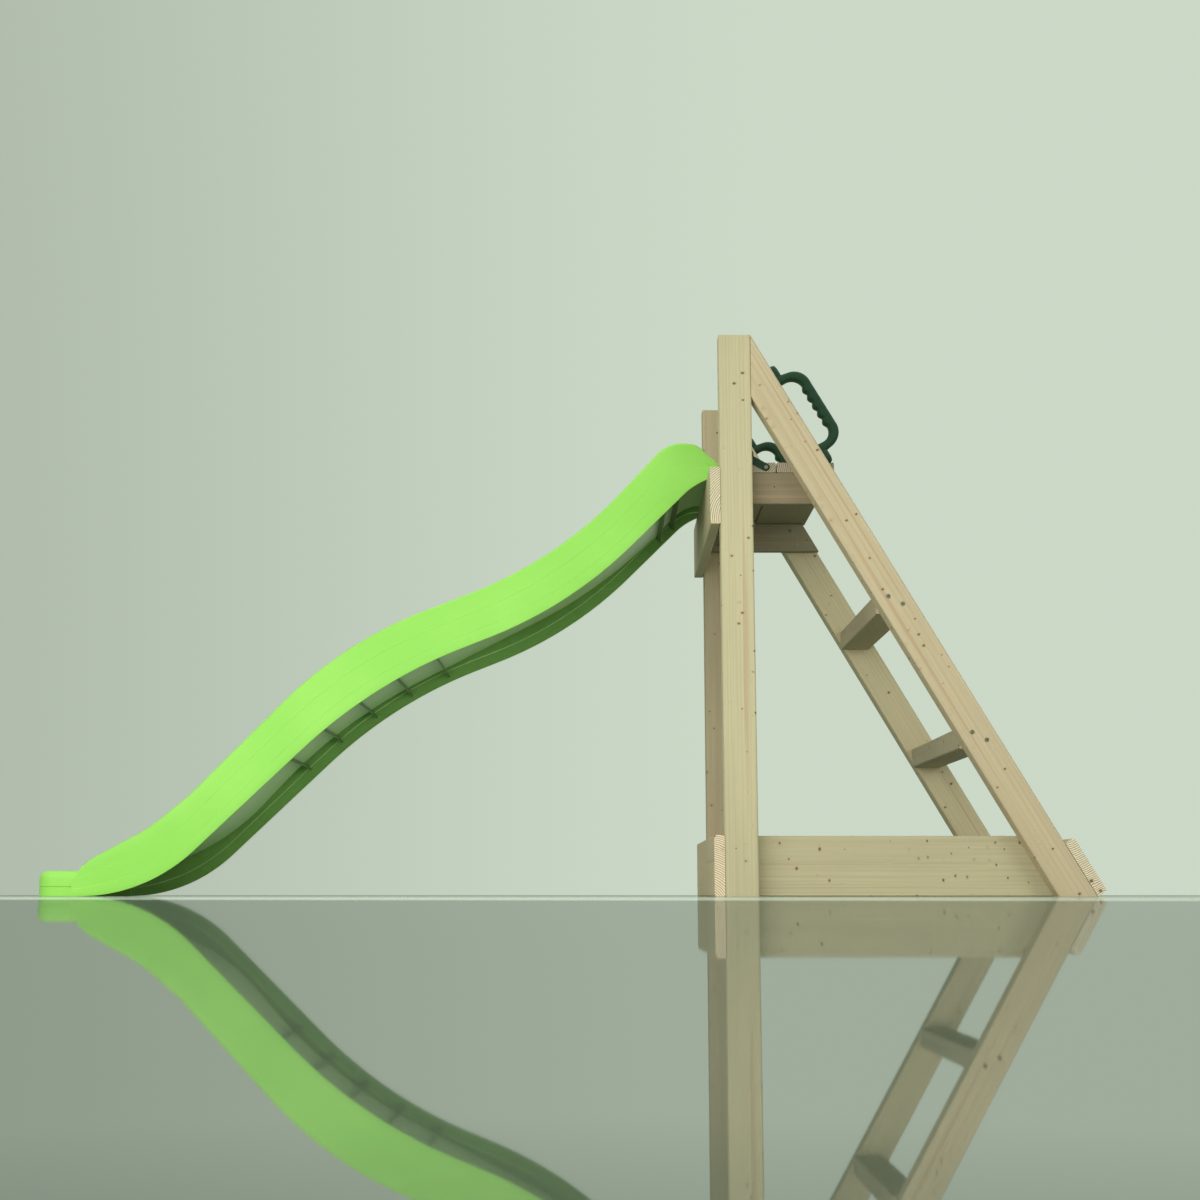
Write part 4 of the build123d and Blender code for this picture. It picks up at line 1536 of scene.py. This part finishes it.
@dataclass
class BedRibs:
    """Thin cross ribs under the bed, arched along their lower edge.

    Attributes:
        slide: the slide that they stiffen.
        thick: thickness of a rib.
        middle_depth: depth at the middle.
        end_depth: depth at the skirts.
        arch_power: how long the middle depth holds before the ends deepen.
        arch_points: points along a rib's edges.
        hump: share of the bed's length, pitch and count of the row on the hump.
        top: the same of the pair near the deck.
    """

    slide: WaveSlide
    thick: float = 3 * MM
    middle_depth: float = 12 * MM
    end_depth: float = 16 * MM
    arch_power: float = 7.0
    arch_points: int = 33
    hump: tuple[float, float, int] = (0.327, 100 * MM, 5)
    top: tuple[float, float, int] = (0.885, 45 * MM, 2)

    def sizes(self) -> dict[str, float]:
        """Sizes of one rib.

        Returns:
            The sizes by input name.
        """
        width = 2 * (self.slide.half_width - self.slide.skin / 2 - 2 * self.slide.ledge_step)
        depths = {"Middle Depth": self.middle_depth, "End Depth": self.end_depth}
        return {"Thick": self.thick, "Width": width, **depths}

    def tree(self, material: bpy.types.Material) -> PatternTree:
        """Tree that puts an arched rib at each place, turned to the bed's slope.

        Args:
            material: the ribs' plastic, darkened as painted shade.

        Returns:
            The tree.
        """
        sizes = self.sizes()
        tree = PatternTree("rib_pattern", sizes, material)
        thick, width, middle, end = (tree.size(key) for key in sizes)
        block = {"Size": tree.vector(thick, width, 1.0), "Vertices X": 2, "Vertices Z": 2}
        block = tree.node("GeometryNodeMeshCube", {**block, "Vertices Y": self.arch_points}).outputs[0]
        here = tree.node("ShaderNodeSeparateXYZ", {0: tree.node("GeometryNodeInputPosition").outputs[0]})
        share = tree.math("DIVIDE", tree.math("MULTIPLY", here.outputs[1], 2.0), width)
        arch = tree.math("POWER", tree.math("ABSOLUTE", share), self.arch_power)
        deep = tree.math("MULTIPLY_ADD", arch, tree.math("SUBTRACT", end, middle), middle)
        lower = tree.math("LESS_THAN", here.outputs[2], 0.0)
        high = tree.math("SUBTRACT", MM, tree.math("MULTIPLY", lower, deep))
        shape = tree.vector(here.outputs[0], here.outputs[1], high)
        rib = tree.node("GeometryNodeSetPosition", {"Geometry": block, "Position": shape}).outputs[0]
        turn = tree.node("FunctionNodeEulerToRotation", {0: tree.attribute("slope")}).outputs[0]
        tree.end(tree.instances(rib, turn))
        return tree

    def build(self, material: bpy.types.Material) -> bpy.types.Object:
        """Make the ribs as one piece.

        Args:
            material: the ribs' plastic, darkened as painted shade.

        Returns:
            The piece.
        """
        points, slopes = [], []
        length = self.slide.bed.runs[-1]
        for start, pitch, count in (self.hump, self.top):
            for index in range(count):
                x, z, slope = self.slide.bed.place(start * length + index * pitch)
                points.append(Vector((x, 0.0, z)))
                slopes.append((0.0, -slope, 0.0))
        places = places_mesh("rib_places", points, {"slope": slopes})
        mesh = self.tree(material).mesh("slide_ribs", places, self.sizes())
        return finished("slide_ribs", mesh, [])


# ---- hand grips ----
@dataclass
class HandGrip:
    """Moulded loop with finger bumps, on the outer edge of a stringer.

    Attributes:
        side: "left" or "right".
        top: the stringer's top point, at the middle of its width.
        drop: from the stringer's top to the start of the grip.
        length: along the stringer.
        height: out of the stringer.
        width: across the stringer.
        lug: length of a foot's flat, outside the bar.
        lug_high: height of a foot.
        foot: length of a foot, with the bar's thickness.
        bar: thickness of the bar.
        outer_bend: radius of the bends outside the loop.
        inner_bend: radius of the bends inside the loop.
        finger_pitch: distance between the finger bumps.
        finger_high: how far the bumps stand into the loop.
        finger_power: how narrow the bumps are; 1 is a plain half wave.
        finger_count: how many bumps there are.
        ring_points: points round the bar.
        lug_points: points round a foot.
        lug_share: length of a foot's dome, as a share of the foot.
        squareness: power that squares off the bar's section.
        lug_squareness: the same for the feet.
    """

    side: str
    top: Vector
    drop: float = 80 * MM
    length: float = 250 * MM
    height: float = 63 * MM
    width: float = 28 * MM
    lug: float = 27 * MM
    lug_high: float = 14.5 * MM
    foot: float = 48 * MM
    bar: float = 20 * MM
    outer_bend: float = 38 * MM
    inner_bend: float = 27 * MM
    finger_pitch: float = 21 * MM
    finger_high: float = 5.0 * MM
    finger_power: float = 1.3
    finger_count: int = 5
    ring_points: int = 28
    lug_points: int = 32
    lug_share: float = 0.78
    squareness: float = 0.62
    lug_squareness: float = 0.7

    def placed(self, along: float, across: float, out: float) -> Vector:
        """Point of the shared frame, from one on the stringer's outer edge.

        Args:
            along: down the stringer, from the start of the grip.
            across: from the middle of the stringer's width.
            out: out of the stringer.

        Returns:
            The point.
        """
        down = Vector((sin(LADDER_ANGLE), 0.0, -cos(LADDER_ANGLE)))
        away = Vector((cos(LADDER_ANGLE), 0.0, sin(LADDER_ANGLE)))
        return self.top + down * (self.drop + along) + away * out + Vector((0.0, across, 0.0))

    def finger(self, along: float) -> float:
        """How far the finger bumps stand into the loop.

        Args:
            along: the place along the grip.

        Returns:
            The height of the bumps there.
        """
        span = self.finger_count * self.finger_pitch
        start = (self.length - span) / 2
        if not start <= along <= start + span:
            return 0.0
        phase = (along - start) / self.finger_pitch
        return self.finger_high * sin(pi * (phase % 1.0)) ** self.finger_power

    def outline(self, corners: tuple[tuple[float, float], ...], bend: float) -> list[tuple[float, float]]:
        """Matched points of one side of the loop.

        Args:
            corners: its four corners, as (along, out).
            bend: radius of its two bends.

        Returns:
            The same number of points for each run and each bend, whatever their sizes.
        """
        arc, straight, leg = 14, 72, 8
        samples = BendLine(corners, (bend, bend)).samples(arc)
        first, second = samples[1:arc + 2], samples[arc + 2:2 * arc + 3]
        points = []
        for start, end, count in ((samples[0], first[0], leg), (first[-1], second[0], straight)):
            points += [between(start, end, step / count) for step in range(count)]
            points += first if start is samples[0] else second
        points += [between(second[-1], samples[-1], step / leg) for step in range(1, leg + 1)]
        return points

    def loop(self, shell: bmesh.types.BMesh) -> None:
        """Add the bar of the loop, swept between its outer and inner outlines.

        Args:
            shell: the bmesh to add it to.
        """
        far, lug, foot = self.length, self.lug, self.foot
        inside_high = self.height - self.bar
        shoulder = lug + 10 * MM
        heel, knee = lug - 2 * MM, foot - 2 * MM
        outside = ((heel, 0.0), (shoulder, self.height), (far - shoulder, self.height), (far - heel, 0.0))
        inside = ((foot, 0.0), (knee, inside_high), (far - knee, inside_high), (far - foot, 0.0))
        outer = self.outline(outside, self.outer_bend)
        inner = self.outline(inside, self.inner_bend)
        bumped = inside_high - 6 * MM
        rings = []
        for (s0, n0), (s1, n1) in zip(outer, inner):
            if n1 > bumped:
                n1 -= self.finger(s1)
            middle = Vector(((s0 + s1) / 2, (n0 + n1) / 2))
            half = Vector(((s0 - s1) / 2, (n0 - n1) / 2))
            ring = []
            for in_plane, across in squared_ring(self.ring_points, self.squareness):
                place = middle + half * in_plane
                ring.append(shell.verts.new(self.placed(place.x, across * self.width / 2, place.y)))
            rings.append(ring)
        capped_sweep(shell, rings)

    def lug_pad(self, shell: bmesh.types.BMesh, start: float, end: float) -> None:
        """Add a domed foot between two places along the stringer.

        Args:
            shell: the bmesh to add it to.
            start: where the foot begins.
            end: where it ends, inside the bar.
        """
        middle, half = (start + end) / 2, abs(end - start) / 2
        rings = []
        for share, high in ((1.0, 0.0), (1.0, 0.45), (0.97, 0.68), (0.88, 0.86), (0.70, 0.96), (0.42, 1.0)):
            ring = []
            for in_plane, sideways in squared_ring(self.lug_points, self.lug_squareness):
                along = middle + half * share * in_plane
                across = self.width / 2 * share * sideways
                ring.append(shell.verts.new(self.placed(along, across, self.lug_high * high)))
            rings.append(ring)
        capped_sweep(shell, rings)

    def build(self, material: bpy.types.Material) -> bpy.types.Object:
        """Make the grip.

        Args:
            material: the grips' plastic.

        Returns:
            The piece.
        """
        shell = bmesh.new()
        self.loop(shell)
        dome = self.foot * self.lug_share
        self.lug_pad(shell, 0.0, dome)
        self.lug_pad(shell, self.length, self.length - dome)
        mesh = closed_mesh(f"moulded_grip_{self.side}", shell, sharp=50.0)
        piece = finished(f"moulded_grip_{self.side}", mesh, [f"hand_grip_{self.side}"])
        dress(piece, material)
        return piece


# ---- stage ----
class SoftLight(NamedTuple):
    """Rectangular light that only its glow shows.

    Attributes:
        name: the light's name.
        place: where it hangs.
        target: where it points.
        width: its width, in metres.
        height: its height, in metres.
        power: its power, in watts.
    """

    name: str
    place: tuple[float, float, float]
    target: tuple[float, float, float]
    width: float
    height: float
    power: float


@dataclass
class Studio:
    """Plain pale floor, soft lights and the camera.

    Attributes:
        backdrop: colour of the surroundings.
        ambient: share of the surroundings' light that falls on matt surfaces.
        overhead: how much brighter the surroundings are overhead, in glossy surfaces.
        overhead_range: heights of a direction between which that brightness grows.
        shade: how much darker the surroundings are towards the toe's side.
        shade_range: X of a direction between which that darkness grows.
        floor: colour of the floor under its gloss.
        floor_reach: from the floor's middle to its edges, in metres.
        gloss: most of the light that the floor's sheen may mirror.
        gloss_index: refractive index of the sheen.
        gloss_rough: roughness of the sheen.
        near_limit: nearest distance that the camera sees.
        eye: place of the camera.
        tilt: how far the camera looks above the level.
        lens: focal length, in millimetres.
        lights: the soft lights.
    """

    backdrop: Colour = (0.600, 0.690, 0.572)
    ambient: float = 0.45
    overhead: float = 0.9
    overhead_range: tuple[float, float] = (0.35, 0.9)
    shade: float = 0.30
    shade_range: tuple[float, float] = (0.12, -0.45)
    floor: Colour = (0.30, 0.355, 0.285)
    floor_reach: float = 60.0
    gloss: float = 0.48
    gloss_index: float = 1.38
    gloss_rough: float = 0.02
    near_limit: float = 2 * MM
    eye: Vector = field(default_factory=lambda: Vector((0.0808, -3.795, 0.0025)))
    tilt: float = radians(10.04)
    lens: float = 50.0
    lights: tuple[SoftLight, ...] = (
        SoftLight("key_light", (-1.1, -2.5, 0.8), (-0.3, -0.3, 0.4), 3.4, 1.2, 62.0),
        SoftLight("fill_light", (2.4, -2.3, 1.0), (0.7, 0.0, 0.5), 1.4, 1.4, 20.0),
        SoftLight("top_light", (-0.5, 0.2, 3.2), (-0.3, 0.0, 0.5), 2.6, 2.0, 34.0),
    )

    def build(self) -> None:
        """Make the floor, the surroundings, the lights and the camera."""
        scene = bpy.context.scene
        scene.view_settings.view_transform = "Standard"
        self.surround(scene)
        self.lay_floor()
        for light in self.lights:
            self.hang(scene, light)
        self.place_camera(scene)

    def hang(self, scene: bpy.types.Scene, light: SoftLight) -> None:
        """Put a soft light in the scene.

        Args:
            scene: the scene.
            light: the light.
        """
        lamp = bpy.data.lights.new(light.name, "AREA")
        lamp.shape = "RECTANGLE"
        lamp.size = light.width
        lamp.size_y = light.height
        lamp.energy = light.power
        holder = bpy.data.objects.new(light.name, lamp)
        holder.location = light.place
        holder.visible_camera = False
        holder.visible_glossy = False
        aim = Vector(light.target) - Vector(light.place)
        holder.rotation_euler = aim.to_track_quat("-Z", "Y").to_euler()
        scene.collection.objects.link(holder)

    def place_camera(self, scene: bpy.types.Scene) -> None:
        """Put the camera in the scene.

        Args:
            scene: the scene.
        """
        camera = bpy.data.cameras.new("camera")
        camera.lens = self.lens
        camera.clip_start = self.near_limit
        holder = bpy.data.objects.new("camera", camera)
        holder.location = self.eye
        holder.rotation_euler = (pi / 2 + self.tilt, 0.0, 0.0)
        scene.collection.objects.link(holder)
        scene.camera = holder

    def surround(self, scene: bpy.types.Scene) -> None:
        """Give the scene pale surroundings that light matt surfaces less than they show.

        Args:
            scene: the scene.
        """
        world = bpy.data.worlds.new("surroundings")
        world.use_nodes = True
        tree = NodeTree(world.node_tree)
        rays = tree.node("ShaderNodeLightPath").outputs
        way = tree.node("ShaderNodeTexCoord").outputs["Generated"]
        way = tree.node("ShaderNodeSeparateXYZ", {0: way}).outputs
        lift = tree.smooth(way[2], *self.overhead_range, 0.0, self.overhead)
        shiny = tree.math("MULTIPLY", lift, rays["Is Glossy Ray"])
        matt = tree.math("MULTIPLY_ADD", rays["Is Diffuse Ray"], self.ambient - 1.0, 1.0)
        fade = tree.smooth(way[0], *self.shade_range, 1.0, 1.0 - self.shade)
        strength = tree.math("MULTIPLY", tree.math("ADD", matt, shiny), fade)
        backdrop = world.node_tree.nodes["Background"].inputs
        backdrop["Color"].default_value = (*self.backdrop, 1.0)
        world.node_tree.links.new(strength, backdrop["Strength"])
        scene.world = world

    def lay_floor(self) -> None:
        """Lay a wide floor with an even sheen."""
        shell = bmesh.new()
        bmesh.ops.create_grid(shell, x_segments=2, y_segments=2, size=self.floor_reach)
        mesh = bpy.data.meshes.new("studio_floor")
        shell.to_mesh(mesh)
        shell.free()
        floor = bpy.data.objects.new("studio_floor", mesh)
        bpy.context.scene.collection.objects.link(floor)
        tree = ShaderTree("studio_floor")
        base = tree.node("ShaderNodeBsdfDiffuse", {"Color": (*self.floor, 1.0)}).outputs[0]
        white = {"Color": (1.0, 1.0, 1.0, 1.0), "Roughness": self.gloss_rough}
        sheen = tree.node("ShaderNodeBsdfGlossy", white).outputs[0]
        mirror = tree.node("ShaderNodeFresnel", {"IOR": self.gloss_index}).outputs[0]
        mirror = tree.math("MINIMUM", mirror, self.gloss)
        both = tree.node("ShaderNodeMixShader", {0: mirror, 1: base, 2: sheen}).outputs[0]
        tree.node("ShaderNodeOutputMaterial", {"Surface": both})
        dress(floor, tree.material)


def corners(bounds: tuple) -> list[list[float]]:
    """A box's two corners as plain lists of numbers."""
    return [[float(value) for value in corner] for corner in bounds]


def main() -> None:
    """Build every piece and report it."""
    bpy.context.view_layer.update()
    finishes = Finishes()
    nodes = frame["nodes"]
    Studio().build()
    Timbers(finishes.pine).dress_all(nodes)

    face_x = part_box("front_post_left")[0].x
    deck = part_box("deck_board_front")[1].z
    low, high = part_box("slide")
    slide = WaveSlide(face_x, face_x - low.x, deck, (high.y - low.y) / 2)
    # the inside's darker plastic and the ribs' dark plastic are painted shade; the bed underside's paler
    # plastic is painted light
    slide.build(
        finishes.slide.material("slide_plastic"),
        finishes.under.material("slide_underside_painted_shade"),
        finishes.bed.material("slide_bed_underside_painted_light"),
    )
    BedRibs(slide).build(finishes.rib.material("slide_rib"))

    grip_plastic = finishes.grip.material("grip_plastic")
    for side in SIDES:
        low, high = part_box(f"stringer_{side}")
        top = Vector((low.x, (low.y + high.y) / 2, high.z))
        HandGrip(side, top).build(grip_plastic)
    dress(nodes["corner_clip"], grip_plastic)
    LOG.info("corner_clip: dressed in the grips' plastic")

    Screws(finishes.plated.material("zinc_plate")).build(nodes)


if __name__ == "__main__":
    logging.basicConfig(level=logging.INFO, format="%(name)s: %(message)s")
    main()
